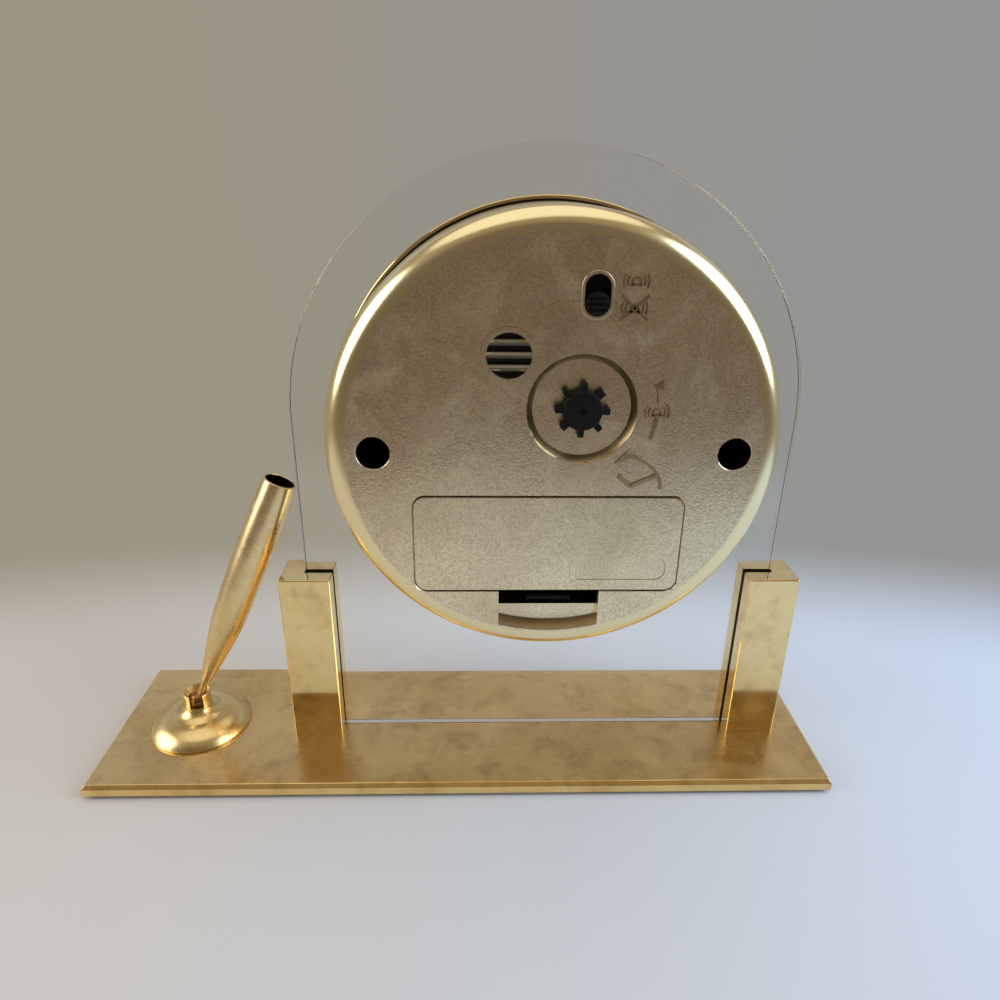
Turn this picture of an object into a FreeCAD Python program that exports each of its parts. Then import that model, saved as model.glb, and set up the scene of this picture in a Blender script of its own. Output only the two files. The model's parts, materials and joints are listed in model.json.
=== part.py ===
import FreeCAD, Part
import math
import os
from FreeCAD import Vector

os.makedirs("parts", exist_ok=True)

# Desk set with a clock in a clear arched plate and a swivelling pen holder, in millimetres.
# The dial faces -Y, +Z is up, and the origin is under the middle of the base.
# The clock's own pieces are drawn about the hands' axis, with y as in the whole set.

# Base
pad_thickness = 1.0
pad_inset = 1.0
base_length = 192.0
base_depth = 50.0
base_thickness = 3.0
base_bevel = 0.9
base_bottom = pad_thickness
base_top = base_bottom + base_thickness

# Clear plate and its posts
plate_thickness = 3.0
plate_half_width = 60.5
plate_hole_radius = 43.0
plate_edge_bevel = 0.25
clock_x = -20.3
clock_height = 89.0
clock_z = base_top + clock_height
post_width = 13.0
post_depth = 11.8
post_height = 48.5
post_grip = 6.9
post_edge_bevel = 0.25
slot_clearance = 0.1
slot_end_clearance = 0.3
post_screw_spacing = 6.4
post_screw_length = 10.5
post_screw_end_gap = 1.5

# Screws
small_screw_radius = 0.9
screw_radius = 1.25
screw_head_radius = 2.6
screw_head_height = 1.5
screw_slot_width = 0.6
screw_slot_depth = 0.7
small_screw_head_height = 0.9
small_screw_length = 1.1
thread_clearance = 0.03
pass_clearance = 0.25

# Front of the clock
case_wall = 2.0
neck_clearance = 0.2
neck_length = 5.0
flange_thickness = 1.8
front_case_overhang = 6.2
front_case_height = 5.5
front_floor_hole = 28.9
front_floor_thickness = 1.5
dial_thickness = 0.5
dial_hole_radius = 3.5
window_width = 5.4
window_height = 4.6
lens_thickness = 1.5
lens_clearance = 0.2
bezel_wall = 0.7
bezel_clearance = 0.1
bezel_lip_width = 4.9
bezel_lip_height = 2.6
# Points of its crown, as shares of the lip's width from the outer edge and of the lip's height
bezel_crown = ((0.04, 0.42), (0.20, 0.86), (0.48, 1.0), (0.78, 0.84), (0.95, 0.40))
inner_ring_foot = 3.0
inner_ring_top = 1.6

# Back case
back_case_overhang = 5.8
back_face_y = 24.1
back_bead_radius = 4.9
well_x = 38.05
well_radius = 3.55
well_wall = 1.25
well_floor_y = 10.5
well_floor = 1.5
boss_radius = 3.0
case_screw_foot_y = 0.5

# Setting knob and its recess
knob_x = -5.3
knob_z = 9.5
recess_radius = 11.2
recess_draft = 1.0
recess_depth = 1.6
recess_wall = 0.8
recess_floor = 1.6
knob_radius = 4.15
knob_edge_bevel = 0.4
knob_rib_reach = 5.7
knob_rib_width = 1.3
knob_rib_root = 1.0
knob_rib_drop = 0.4
knob_rib_turn = -2.0
knob_ribs = 8
knob_height = 2.4
knob_dimple_radius = 0.8
knob_dimple_depth = 0.6
knob_floor_gap = 0.3
shaft_radius = 1.5

# Alarm switch
switch_x = -7.03
switch_below_rim = 16.4
switch_slot_radius = 2.55
switch_rim_width = 0.65
switch_rim_rise = 0.2
switch_travel = 3.0
switch_button_radius = 2.3
switch_button_rise = 1.5
switch_plate_width = 8.4
switch_plate_height = 12.0
switch_plate_thickness = 1.1
switch_plate_play = 0.15
switch_leg_width = 2.4
switch_grip_pitch = 1.1
switch_grip_width = 0.5
switch_grip_depth = 0.4

# Buzzer and its grille
buzzer_x = 9.93
buzzer_z = 20.6
buzzer_radius = 5.8
buzzer_gap = 0.5
buzzer_hole_radius = 1.0
buzzer_hole_depth = 1.5
grille_radius = 4.5
grille_rim_radius = 5.9
grille_rim_rise = 0.25
grille_bar_pitch = 2.56
grille_bar_height = 1.25
grille_bars = 3
grille_bar_shoulder = 0.5
grille_bar_root = 0.3

# Battery bay and door
bay_centre_x = 0.7
bay_centre_z = -21.3
bay_side_play = 1.0
bay_wall = 1.2
bay_floor_y = 6.2
door_side_lap = 0.8
door_end_lap = 3.2
door_corner = 2.6
door_gap = 0.3
door_thickness = 1.7
door_ledge = 1.4
ledge_margin = 1.3
tab_x = 18.0
tab_width = 5.0
tab_reach = 1.1
tab_thickness = 1.0
tongue_width = 10.0
tongue_wall = 0.9
tongue_depth = 3.6
tongue_reach = 3.2
tongue_catch = 0.8
finger_width = 22.8
finger_slot_height = 4.6
finger_reach = 43.3
finger_floor_reach = 41.6
finger_depth = 2.4
finger_wall = 1.2
pocket_gap = 0.2
battery_radius = 7.2
battery_length = 49.2
battery_tip_radius = 2.7
battery_tip_length = 1.3
contact_thickness = 0.4
contact_play = 0.1
contact_height = 10.0
contact_depth = 9.0
spring_width = 8.0
spring_room = 6.2

# Movement
wheel_thickness = 0.6
train_pinion_length = 1.0
arbor_radius = 0.4
running_clearance = 0.05
housing_front_y = -2.4
housing_wall = 0.8
housing_cup_radius = 28.6
housing_flange_radius = 33.0
housing_flange_thickness = 1.0
housing_half_width = 20.5
housing_low = -11.5
housing_high = 26.0
housing_box_wall = 1.2
train_plate_y = 2.3
train_plate_thickness = 1.0
cover_y = 12.6
cover_thickness = 1.0
pivot_depth = 0.5
pivot_play = 0.1

# Circuit board
board_thickness = 1.0
board_margin = 4.0
board_low = 3.0
board_high_margin = 3.5
chip_size = 7.0
chip_corner = 1.5
chip_height = 1.2
chip_x = 9.0
chip_z = 8.5
crystal_width = 2.4
crystal_length = 6.5
crystal_corner = 0.5
crystal_height = 1.6
crystal_x = 0.5
crystal_z = 28.0

# Stepping motor
stator_y = 8.7
stator_thickness = 1.0
stator_ring_radius = 4.8
stator_hole_radius = 3.0
stator_left = -10.5
stator_right = 16.6
stator_arm = 3.4
stator_bridge = 3.0
stator_peg_radius = 1.2
coil_z = 19.5
coil_flange_radius = 3.3
coil_flange_thickness = 0.8
coil_radius = 2.9
coil_gap = 0.9
core_thickness = 1.0
core_width = 2.4
magnet_y = 8.2
magnet_length = 2.0
magnet_gap = 0.4

# Gear teeth, as shares of the module and of the pitch
addendum = 0.8
dedendum = 1.2
tip_share = 0.10
root_share = 0.25

# Teeth of each mesh
cannon_teeth = 10
minute_wheel_teeth = 30
minute_pinion_teeth = 8
hour_wheel_teeth = 32
date_pinion_teeth = 16
date_wheel_teeth = 32
second_pinion_teeth = 6
third_wheel_teeth = 45
third_pinion_teeth = 6
centre_wheel_teeth = 48
drive_pinion_teeth = 8
second_wheel_teeth = 40
rotor_pinion_teeth = 6
drive_wheel_teeth = 36
date_ring_teeth = 31

second_module = 0.30
drive_module = 0.32
rotor_module = 0.35
date_module = 0.55

# Fronts of the wheels and pinions, from the dial side to the back
alarm_pinion_y = -1.45
alarm_pinion_length = 0.6
alarm_wheel_y = -1.4
alarm_wheel_thickness = 0.5
date_pinion_y = -0.75
date_wheel_y = -0.7
date_wheel_thickness = 0.55
minute_pinion_y = -0.05
motion_pinion_length = 0.8
hour_wheel_y = 0.05
cannon_pinion_y = 0.95
cannon_pinion_length = 1.05
minute_wheel_y = 1.05
minute_wheel_thickness = 0.7
cannon_neck_y = 3.35
cannon_neck_length = 1.15
third_pinion_y = 3.6
centre_wheel_y = 3.7
second_pinion_y = 4.7
third_wheel_y = 4.9
drive_pinion_y = 6.0
second_wheel_y = 6.1
rotor_pinion_y = 7.0
drive_wheel_y = 7.1

# Pipes round the hands' axis, from the inside out
second_arbor_radius = 0.8
minute_pipe_radius = 1.85
hour_pipe_radius = 2.4
alarm_pipe_radius = 2.9
boss_pipe_radius = 3.35
cannon_neck_radius = 1.5
pipe_tip = 0.1

# Calendar ring
date_ring_outer = 27.5
date_ring_inner = 20.6
date_ring_thickness = 0.6
date_tooth_height = 1.0
date_ring_gap = 0.2
date_finger_width = 1.2
date_finger_bite = 0.5
date_hub_radius = 2.0

# Hands
hand_thickness = 0.25
hand_pitch = 0.6
hour_length = 23.0
minute_length = 34.0
second_length = 36.0
alarm_length = 19.0
hour_angle = 304.8
minute_angle = 57.5
second_angle = 210.0
alarm_angle = 180.0
hand_collar = 1.3
second_tail = 12.0
second_width = 0.9
second_weight_radius = 1.7
second_weight_z = -9.5

# Pen holder
holder_x = 74.0
socket_radius = 13.4
socket_rim = 0.8
socket_floor = 0.6
socket_dome_radius = 7.6
socket_dome_height = 4.0
socket_neck_radius = 3.7
socket_neck_height = 6.2
socket_stud_radius = 2.5
socket_stud_gap = 0.4
ball_radius = 2.6
ball_height = 7.2
ball_clearance = 0.1
cap_base_radius = 3.6
cap_waist_radius = 3.45
cap_waist_height = 8.0
cap_top_radius = 3.7
cap_height = 10.6
cap_mouth_radius = 3.1
cap_throat_radius = 2.2
cap_slot_width = 3.5
cap_slot_floor = 6.6
cap_slot_heading = 103.4
seat_height = 2.8
seat_drop = 1.0
washer_thickness = 0.4
washer_bore_radius = 1.0
washer_land = 0.6
nut_width = 8.0
nut_height = 1.7
funnel_lean = 24.1
funnel_heading = 192.5
funnel_length = 69.7
funnel_stem_radius = 1.0
funnel_stem_length = 5.5
funnel_stem_sink = 1.2
funnel_shoulder_radius = 4.3
funnel_shoulder = 26.0
funnel_shoulder_swell = 0.25
funnel_belly_radius = 4.85
funnel_mouth_radius = 4.3
funnel_bore_radius = 3.75
funnel_bore_length = 38.0
funnel_bore_taper = 18.0
funnel_bore_tip = 1.0

# Values worked out from the sizes above
plate_half = plate_thickness / 2
post_inner = plate_half_width - post_grip
post_outer = post_inner + post_width
dial_seat_y = -plate_half - flange_thickness
dial_front_y = dial_seat_y - dial_thickness
front_case_front_y = dial_seat_y - front_case_height
lens_front_y = front_case_front_y
lens_back_y = lens_front_y + lens_thickness
neck_radius = plate_hole_radius - neck_clearance
front_case_radius = plate_hole_radius + front_case_overhang
back_case_radius = plate_hole_radius + back_case_overhang
switch_z = back_case_radius - switch_below_rim
dial_pocket_radius = front_case_radius - case_wall
dial_radius = dial_pocket_radius - lens_clearance
window_x = (date_ring_outer + date_ring_inner) / 2
back_floor_y = back_face_y - case_wall
recess_floor_y = back_face_y - recess_depth
ledge_y = back_face_y - door_thickness
bay_width = spring_room + battery_length + battery_tip_length + contact_play + contact_thickness
bay_height = 2 * (battery_radius + bay_side_play)
door_width = bay_width + 2 * door_side_lap
door_height = bay_height + 2 * door_end_lap
door_top_z = bay_centre_z + door_height / 2
door_bottom_z = bay_centre_z - door_height / 2
finger_top_z = door_bottom_z - door_gap
finger_slot_z = finger_top_z - finger_slot_height
pocket_y = ledge_y - tongue_depth - tongue_wall - pocket_gap
tongue_top = door_bottom_z + door_gap + tongue_wall + 2 * slot_end_clearance
setting_distance = math.hypot(knob_x, knob_z)
setting_module = 2 * setting_distance / (cannon_teeth + minute_wheel_teeth)
third_distance = second_module * (second_pinion_teeth + third_wheel_teeth) / 2
centre_module = 2 * third_distance / (third_pinion_teeth + centre_wheel_teeth)
drive_distance = drive_module * (drive_pinion_teeth + second_wheel_teeth) / 2
rotor_distance = rotor_module * (rotor_pinion_teeth + drive_wheel_teeth) / 2
date_distance = date_module * (date_pinion_teeth + date_wheel_teeth) / 2
third_heading = math.radians(200.0)
drive_heading = math.radians(20.0)
rotor_heading = math.radians(60.0)
date_heading = math.radians(270.0)
knob_heading = math.atan2(knob_z, knob_x)
third_x = third_distance * math.cos(third_heading)
third_z = third_distance * math.sin(third_heading)
drive_x = drive_distance * math.cos(drive_heading)
drive_z = drive_distance * math.sin(drive_heading)
rotor_x = drive_x + rotor_distance * math.cos(rotor_heading)
rotor_z = drive_z + rotor_distance * math.sin(rotor_heading)
date_x = date_distance * math.cos(date_heading)
date_z = date_distance * math.sin(date_heading)
bay_left = bay_centre_x - bay_width / 2
bay_right = bay_centre_x + bay_width / 2
battery_left = bay_right - contact_thickness - contact_play - battery_tip_length - battery_length
battery_y = bay_floor_y + door_gap + battery_radius
board_y = cover_y + cover_thickness
board_back_y = board_y + board_thickness
train_plate_back_y = train_plate_y + train_plate_thickness
date_ring_y = dial_seat_y + date_ring_gap
ball_z = base_top + ball_height


def block(low, high):
    """Box between two corners."""
    size = [b - a for a, b in zip(low, high)]
    return Part.makeBox(size[0], size[1], size[2], Vector(*low))


def rod(x, z, radius, y0, y1):
    """Cylinder along Y."""
    return Part.makeCylinder(radius, y1 - y0, Vector(x, y0, z), Vector(0, 1, 0))


def ring(x, z, outer, inner, y0, y1):
    """Tube along Y."""
    return rod(x, z, outer, y0, y1).cut(rod(x, z, inner, y0 - 1, y1 + 1))


def wire(place, start, steps):
    """Closed outline: a step is an end point, or a (through, end) pair for an arc."""
    edges = []
    here = place(*start)
    for step in list(steps) + [start]:
        curved = isinstance(step[0], tuple)
        end = place(*(step[1] if curved else step))
        if curved:
            edges.append(Part.Arc(here, place(*step[0]), end).toShape())
        else:
            edges.append(Part.makeLine(here, end))
        here = end
    return Part.Wire(edges)


def turned_y(start, *steps):
    """Full turn about the Y axis of an outline in (radius, y)."""
    face = Part.Face(wire(lambda r, y: Vector(r, y, 0), start, steps))
    return face.revolve(Vector(0, 0, 0), Vector(0, 1, 0), 360)


def turned_z(start, *steps):
    """Full turn about the Z axis of an outline in (radius, z)."""
    face = Part.Face(wire(lambda r, z: Vector(r, 0, z), start, steps))
    return face.revolve(Vector(0, 0, 0), Vector(0, 0, 1), 360)


def sheet_y(y0, y1, start, *steps):
    """Outline in (x, z), given a thickness along Y."""
    face = Part.Face(wire(lambda x, z: Vector(x, y0, z), start, steps))
    return face.extrude(Vector(0, y1 - y0, 0))


def rounded_plate(width, height, corner, x, z, y0, y1):
    """Rectangle with round corners in the XZ plane, centred on (x, z)."""
    plate = block((x - width / 2, y0, z - height / 2), (x + width / 2, y1, z + height / 2))
    upright = [e for e in plate.Edges if abs(e.tangentAt(e.FirstParameter).y) > 0.9]
    return plate.makeFillet(corner, upright)


def joined(first, *others):
    """One clean solid out of pieces that touch."""
    shape = first.fuse(list(others)).removeSplitter()
    return shape.Solids[0] if len(shape.Solids) == 1 else shape


def turn_about_y(shape, degrees):
    """Turn clockwise as seen from the dial side."""
    turned = shape.copy()
    turned.rotate(Vector(0, 0, 0), Vector(0, 1, 0), degrees)
    return turned


def gear_outline(teeth, module, y, tooth_at):
    """Closed outline of straight-sided teeth, one of them centred on the angle tooth_at."""
    pitch_radius = teeth * module / 2
    root = pitch_radius - dedendum * module
    tip = pitch_radius + addendum * module
    pitch = 2 * math.pi / teeth
    corners = []
    for tooth in range(teeth):
        middle = tooth_at + tooth * pitch
        for radius, share in ((root, -root_share), (tip, -tip_share), (tip, tip_share), (root, root_share)):
            angle = middle + share * pitch
            corners.append(Vector(radius * math.cos(angle), y, radius * math.sin(angle)))
    return Part.makePolygon(corners + corners[:1])


def gear(x, z, teeth, module, y0, y1, tooth_at=0.0):
    """Toothed wheel along Y with its axis at (x, z)."""
    face = Part.Face(gear_outline(teeth, module, y0, tooth_at))
    wheel = face.extrude(Vector(0, y1 - y0, 0))
    wheel.translate(Vector(x, 0, z))
    return wheel


def gap_facing(heading, teeth):
    """Angle of a tooth when a gap faces back along a heading from the mating wheel."""
    return heading + math.pi + math.pi / teeth


def in_clock(shape):
    """Move a piece drawn about the hands' axis to its place in the set."""
    placed = shape.copy()
    placed.translate(Vector(clock_x, 0, clock_z))
    return placed


def at_holder(shape):
    """Move a piece drawn about the pen holder's upright axis, from the base's top, to its place."""
    placed = shape.copy()
    placed.translate(Vector(holder_x, 0, base_top))
    return placed


def post_screw_places():
    """Where the four screws come up through the base into the posts."""
    solid_middle = (post_inner + post_grip + slot_end_clearance + post_outer) / 2
    places = []
    for side in (-1, 1):
        for row in (-1, 1):
            places.append((clock_x + side * solid_middle, row * post_screw_spacing / 2))
    return places


def countersunk_screw(x, y, z, length, radius, head_radius):
    """Screw pointing up with its flat head flush at z."""
    head_height = head_radius - radius
    head = Part.makeCone(head_radius, radius, head_height, Vector(x, y, z))
    shank = Part.makeCylinder(radius, length, Vector(x, y, z))
    return joined(head, shank)


def base_pad():
    """Thin felt under the base."""
    half_length = base_length / 2 - pad_inset
    half_depth = base_depth / 2 - pad_inset
    return block((-half_length, -half_depth, 0), (half_length, half_depth, pad_thickness))


def base_plate():
    """Brass slab with bevelled top edges, drilled for the posts and the pen holder."""
    half_length = base_length / 2
    half_depth = base_depth / 2
    slab = block((-half_length, -half_depth, base_bottom), (half_length, half_depth, base_top))
    top_edges = [e for e in slab.Edges if e.BoundBox.ZMin > base_top - 0.01]
    slab = slab.makeChamfer(base_bevel, top_edges)
    for x, y in post_screw_places():
        slab = slab.cut(countersunk_screw(x, y, base_bottom - 0.01, base_thickness + 1,
                                          screw_radius + pass_clearance, screw_head_radius + pass_clearance))
    stud_hole = Part.makeCylinder(socket_stud_radius + pass_clearance, base_thickness + 2,
                                  Vector(holder_x, 0, base_bottom - 1))
    nut_pocket = Part.makeCylinder(nut_width * 0.6 + pass_clearance, nut_height + pass_clearance,
                                   Vector(holder_x, 0, base_bottom))
    return slab.cut(stud_hole).cut(nut_pocket)


def post(side):
    """Square brass post, slotted down its inner face for the edge of the clear plate."""
    inner = clock_x + side * post_inner
    outer = clock_x + side * post_outer
    low_x, high_x = sorted((inner, outer))
    body = block((low_x, -post_depth / 2, base_top), (high_x, post_depth / 2, base_top + post_height))
    edges = [e for e in body.Edges if e.BoundBox.ZMax > base_top + 0.01]
    body = body.makeChamfer(post_edge_bevel, edges)
    slot_end = clock_x + side * (plate_half_width + slot_end_clearance)
    slot_low, slot_high = sorted((inner - side, slot_end))
    slot_half = plate_half + slot_clearance
    slot = block((slot_low, -slot_half, base_top - 1), (slot_high, slot_half, base_top + post_height + 1))
    body = body.cut(slot)
    depth = base_bottom + post_screw_length + post_screw_end_gap - base_top
    for x, y in post_screw_places():
        if (x - clock_x) * side > 0:
            body = body.cut(Part.makeCylinder(screw_radius + thread_clearance, depth, Vector(x, y, base_top)))
    return body


def post_screws():
    """Four countersunk screws, two into each post."""
    screws = [countersunk_screw(x, y, base_bottom, post_screw_length, screw_radius, screw_head_radius)
              for x, y in post_screw_places()]
    return Part.makeCompound(screws)


def clear_plate():
    """Arched clear plate with a round hole for the clock."""
    low = -clock_height
    reach = plate_half_width
    arch = sheet_y(-plate_half, plate_half, (-reach, low), (reach, low), (reach, 0), ((0, reach), (-reach, 0)))
    faces_edges = [e for e in arch.Edges if abs(e.BoundBox.YMax - e.BoundBox.YMin) < 0.01]
    arch = arch.makeChamfer(plate_edge_bevel, faces_edges)
    return in_clock(arch.cut(rod(0, 0, plate_hole_radius, -5, 5)))


def front_case():
    """Carrier ring in front of the plate, with a neck through it and two bosses for the case screws."""
    shell = turned_y((neck_radius, -plate_half), (front_case_radius, -plate_half),
                     (front_case_radius, front_case_front_y), (dial_pocket_radius, front_case_front_y),
                     (dial_pocket_radius, dial_seat_y), (neck_radius - case_wall, dial_seat_y),
                     (neck_radius - case_wall, -front_floor_thickness), (front_floor_hole, -front_floor_thickness),
                     (front_floor_hole, 0), (neck_radius - case_wall, 0),
                     (neck_radius - case_wall, neck_length - plate_half),
                     (neck_radius, neck_length - plate_half))
    for side in (-1, 1):
        boss = rod(side * well_x, 0, boss_radius, -front_floor_thickness, well_floor_y - well_floor)
        shell = joined(shell, boss)
    for side in (-1, 1):
        shell = shell.cut(rod(side * well_x, 0, screw_radius + thread_clearance, 0, well_floor_y))
    for x, z in movement_screw_places():
        shell = shell.cut(rod(x, z, small_screw_radius + thread_clearance, -small_screw_length - pivot_play, 1))
    return in_clock(shell)


def bezel():
    """Polished ring over the edge of the front case and of the lens."""
    inner = front_case_radius + bezel_clearance
    outer = inner + bezel_wall
    lip = outer - bezel_lip_width
    back = -plate_half - bezel_clearance
    seat = lens_front_y - bezel_clearance
    crown = [(outer - across * bezel_lip_width, seat - up * bezel_lip_height) for across, up in bezel_crown]
    return in_clock(turned_y((inner, back), (outer, back), (outer, seat), *crown, (lip, seat), (inner, seat)))


def lens():
    """Flat glass."""
    radius = dial_radius
    edge = 0.3
    disc = turned_y((0, lens_back_y), (radius, lens_back_y), (radius, lens_front_y + edge),
                    (radius - edge, lens_front_y), (0, lens_front_y))
    return in_clock(disc)


def inner_ring():
    """Sloping ring between the dial and the glass."""
    cone = turned_y((dial_radius, lens_back_y), (dial_radius, dial_front_y),
                    (dial_radius - inner_ring_foot, dial_front_y), (dial_radius - inner_ring_top, lens_back_y))
    return in_clock(cone)


def dial():
    """Dial with a hole for the hands' pipes and a window over the date ring."""
    disc = rod(0, 0, dial_radius, dial_front_y, dial_seat_y)
    window = block((window_x - window_width / 2, dial_front_y - 1, -window_height / 2),
                   (window_x + window_width / 2, dial_seat_y + 1, window_height / 2))
    return in_clock(disc.cut(rod(0, 0, dial_hole_radius, dial_front_y - 1, dial_seat_y + 1)).cut(window))


def back_case():
    """Moulded cup behind the plate, with its battery bay, knob recess, grille, slots and screw wells."""
    bead = back_bead_radius
    flat = back_case_radius - bead
    inside = back_case_radius - case_wall
    bend = math.sqrt(0.5)
    bead_y = back_face_y - bead
    shell = turned_y((back_case_radius, plate_half), (back_case_radius, bead_y),
                     ((flat + bead * bend, bead_y + bead * bend), (flat, back_face_y)),
                     (0, back_face_y), (0, back_floor_y), (flat, back_floor_y),
                     ((flat + (bead - case_wall) * bend, bead_y + (bead - case_wall) * bend), (inside, bead_y)),
                     (inside, plate_half))
    additions = []
    for side in (-1, 1):
        additions.append(rod(side * well_x, 0, well_radius + well_wall, well_floor_y - well_floor, back_face_y))
    half_bay_x = bay_width / 2 + bay_wall
    half_bay_z = bay_height / 2 + bay_wall
    additions.append(block((bay_centre_x - half_bay_x, bay_floor_y - bay_wall, bay_centre_z - half_bay_z),
                           (bay_centre_x + half_bay_x, back_floor_y, bay_centre_z + half_bay_z)))
    half_ledge_x = door_width / 2 + door_gap + ledge_margin
    half_ledge_z = door_height / 2 + door_gap + ledge_margin
    additions.append(block((bay_centre_x - half_ledge_x, ledge_y - door_ledge, bay_centre_z - half_ledge_z),
                           (bay_centre_x + half_ledge_x, back_floor_y, bay_centre_z + half_ledge_z)))
    additions.append(rod(knob_x, knob_z, recess_radius + recess_wall, recess_floor_y - recess_floor, back_floor_y))
    additions.append(rod(buzzer_x, buzzer_z, grille_rim_radius, back_floor_y, back_face_y + grille_rim_rise))
    additions.append(upright_slot(switch_slot_radius + switch_rim_width, back_floor_y, back_face_y + switch_rim_rise))
    additions.append(finger_pocket_walls(inside))
    case = joined(shell, *additions)
    for cut in back_case_cuts():
        case = case.cut(cut)
    return in_clock(joined(case, *grille_bar_list()))


def back_case_cuts():
    """Everything that is hollow or open in the back case."""
    cuts = []
    over = back_face_y + 1
    for side in (-1, 1):
        cuts.append(rod(side * well_x, 0, well_radius, well_floor_y, over))
        cuts.append(rod(side * well_x, 0, screw_radius + pass_clearance, well_floor_y - well_floor - 1, well_floor_y))
    half_z = bay_height / 2
    cuts.append(block((bay_left, bay_floor_y, bay_centre_z - half_z), (bay_right, back_face_y, bay_centre_z + half_z)))
    cuts.append(rounded_plate(door_width + 2 * door_gap, door_height + 2 * door_gap, door_corner + door_gap,
                              bay_centre_x, bay_centre_z, ledge_y, over))
    for side in (-1, 1):
        tab_centre = bay_centre_x + side * tab_x
        half_tab = tab_width / 2 + door_gap
        cuts.append(block((tab_centre - half_tab, ledge_y - door_ledge - 1, bay_centre_z + half_z - 0.1),
                          (tab_centre + half_tab, ledge_y, door_top_z + door_gap + ledge_margin + 0.1)))
    cuts.append(Part.makeCone(recess_radius - recess_draft, recess_radius, recess_depth,
                              Vector(knob_x, recess_floor_y, knob_z), Vector(0, 1, 0)))
    cuts.append(rod(knob_x, knob_z, shaft_radius + pass_clearance, recess_floor_y - recess_floor - 1, recess_floor_y))
    cuts.append(rod(buzzer_x, buzzer_z, grille_radius, back_floor_y - 1, over))
    cuts.append(upright_slot(switch_slot_radius, back_floor_y - 1, over))
    cuts.append(finger_scoop())
    half_finger = finger_width / 2
    cuts.append(block((-half_finger, pocket_y, finger_slot_z), (half_finger, over, finger_top_z)))
    half_tongue = tongue_width / 2 + door_gap
    cuts.append(block((-half_tongue, pocket_y, finger_slot_z), (half_tongue, ledge_y, tongue_top)))
    return cuts


def upright_slot(radius, y0, y1):
    """Slot with round ends that the alarm switch slides in, as a solid."""
    reach = switch_travel / 2
    return joined(rod(switch_x, switch_z - reach, radius, y0, y1), rod(switch_x, switch_z + reach, radius, y0, y1),
                  block((switch_x - radius, y0, switch_z - reach), (switch_x + radius, y1, switch_z + reach)))


def finger_pocket_walls(inside):
    """Walls behind the fingertip hollow and round the pocket that the door's tongue goes into."""
    half = finger_width / 2 + finger_wall
    deep = pocket_y - finger_wall
    lip = block((-half, back_face_y - finger_depth - finger_wall, -inside), (half, back_floor_y, finger_slot_z))
    pocket = block((-half, deep, finger_slot_z - finger_wall), (half, back_floor_y, tongue_top + finger_wall))
    return joined(lip, pocket).common(rod(0, 0, inside, deep, back_floor_y))


def finger_scoop():
    """Hollow below the battery door for a fingertip: a flat floor and a curved lip that slopes out to the face."""
    floor_y = back_face_y - finger_depth
    lip = Part.makeCone(finger_floor_reach, finger_reach, finger_depth, Vector(0, floor_y, 0), Vector(0, 1, 0))
    over = rod(0, 0, finger_reach, back_face_y, back_face_y + 1)
    half = finger_width / 2
    span = block((-half, floor_y, -finger_reach), (half, back_face_y + 1, finger_top_z))
    return joined(lip, over).common(span)


def grille_bar_list():
    """Bars across the grille, each with a ridge along its outer side."""
    bars = []
    half_length = grille_radius + grille_bar_root
    half = grille_bar_height / 2
    deep = back_floor_y
    shoulder = back_face_y - grille_bar_shoulder
    for index in range(grille_bars):
        z = buzzer_z + (index - (grille_bars - 1) / 2) * grille_bar_pitch
        corners = [Vector(0, deep, z - half), Vector(0, shoulder, z - half), Vector(0, back_face_y, z),
                   Vector(0, shoulder, z + half), Vector(0, deep, z + half)]
        bar = Part.Face(Part.makePolygon(corners + corners[:1])).extrude(Vector(2 * half_length, 0, 0))
        bar.translate(Vector(buzzer_x - half_length, 0, 0))
        bars.append(bar.common(rod(buzzer_x, buzzer_z, half_length, deep, back_face_y + 1)))
    return bars


def case_screws():
    """Two pan-head screws that draw the back case to the front case through the plate."""
    screws = []
    for side in (-1, 1):
        x = side * well_x
        top = well_floor_y + screw_head_height
        head = rod(x, 0, screw_head_radius, well_floor_y, top)
        shank = rod(x, 0, screw_radius, case_screw_foot_y, well_floor_y)
        half = screw_slot_width / 2
        reach = screw_head_radius - screw_slot_width
        drive = block((x - reach, top - screw_slot_depth, -half), (x + reach, top + 1, half))
        cross = block((x - half, top - screw_slot_depth, -reach), (x + half, top + 1, reach))
        screws.append(in_clock(joined(head, shank).cut(drive).cut(cross)))
    return Part.makeCompound(screws)


def battery_door():
    """Door that lies flush in the back, hooked at its top edge, with a spring tongue at the bottom."""
    panel = rounded_plate(door_width, door_height, door_corner, bay_centre_x, bay_centre_z, ledge_y, back_face_y)
    pieces = []
    root_z = bay_centre_z + bay_height / 2 + 0.4
    for side in (-1, 1):
        low_x = bay_centre_x + side * tab_x - tab_width / 2
        high_x = low_x + tab_width
        pieces.append(block((low_x, ledge_y - tab_thickness, root_z), (high_x, ledge_y, door_top_z - 0.4)))
        pieces.append(block((low_x, ledge_y - tab_thickness, root_z),
                            (high_x, ledge_y - 0.1, door_top_z + tab_reach)))
    half = tongue_width / 2
    root = door_bottom_z + door_gap
    deep = ledge_y - tongue_depth
    outer = root - tongue_reach
    pieces.append(block((-half, deep, root), (half, ledge_y, root + tongue_wall)))
    pieces.append(block((-half, deep - tongue_wall, outer), (half, deep, root + tongue_wall)))
    pieces.append(block((-half, deep - tongue_wall, outer), (half, ledge_y + tongue_catch, outer + tongue_wall)))
    return in_clock(joined(panel, *pieces))


def battery():
    """Single round cell lying across the bay."""
    along = Vector(1, 0, 0)
    can = Part.makeCylinder(battery_radius, battery_length, Vector(battery_left, battery_y, bay_centre_z), along)
    tip = Part.makeCylinder(battery_tip_radius, battery_tip_length,
                            Vector(battery_left + battery_length, battery_y, bay_centre_z), along)
    return in_clock(joined(can, tip))


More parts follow.
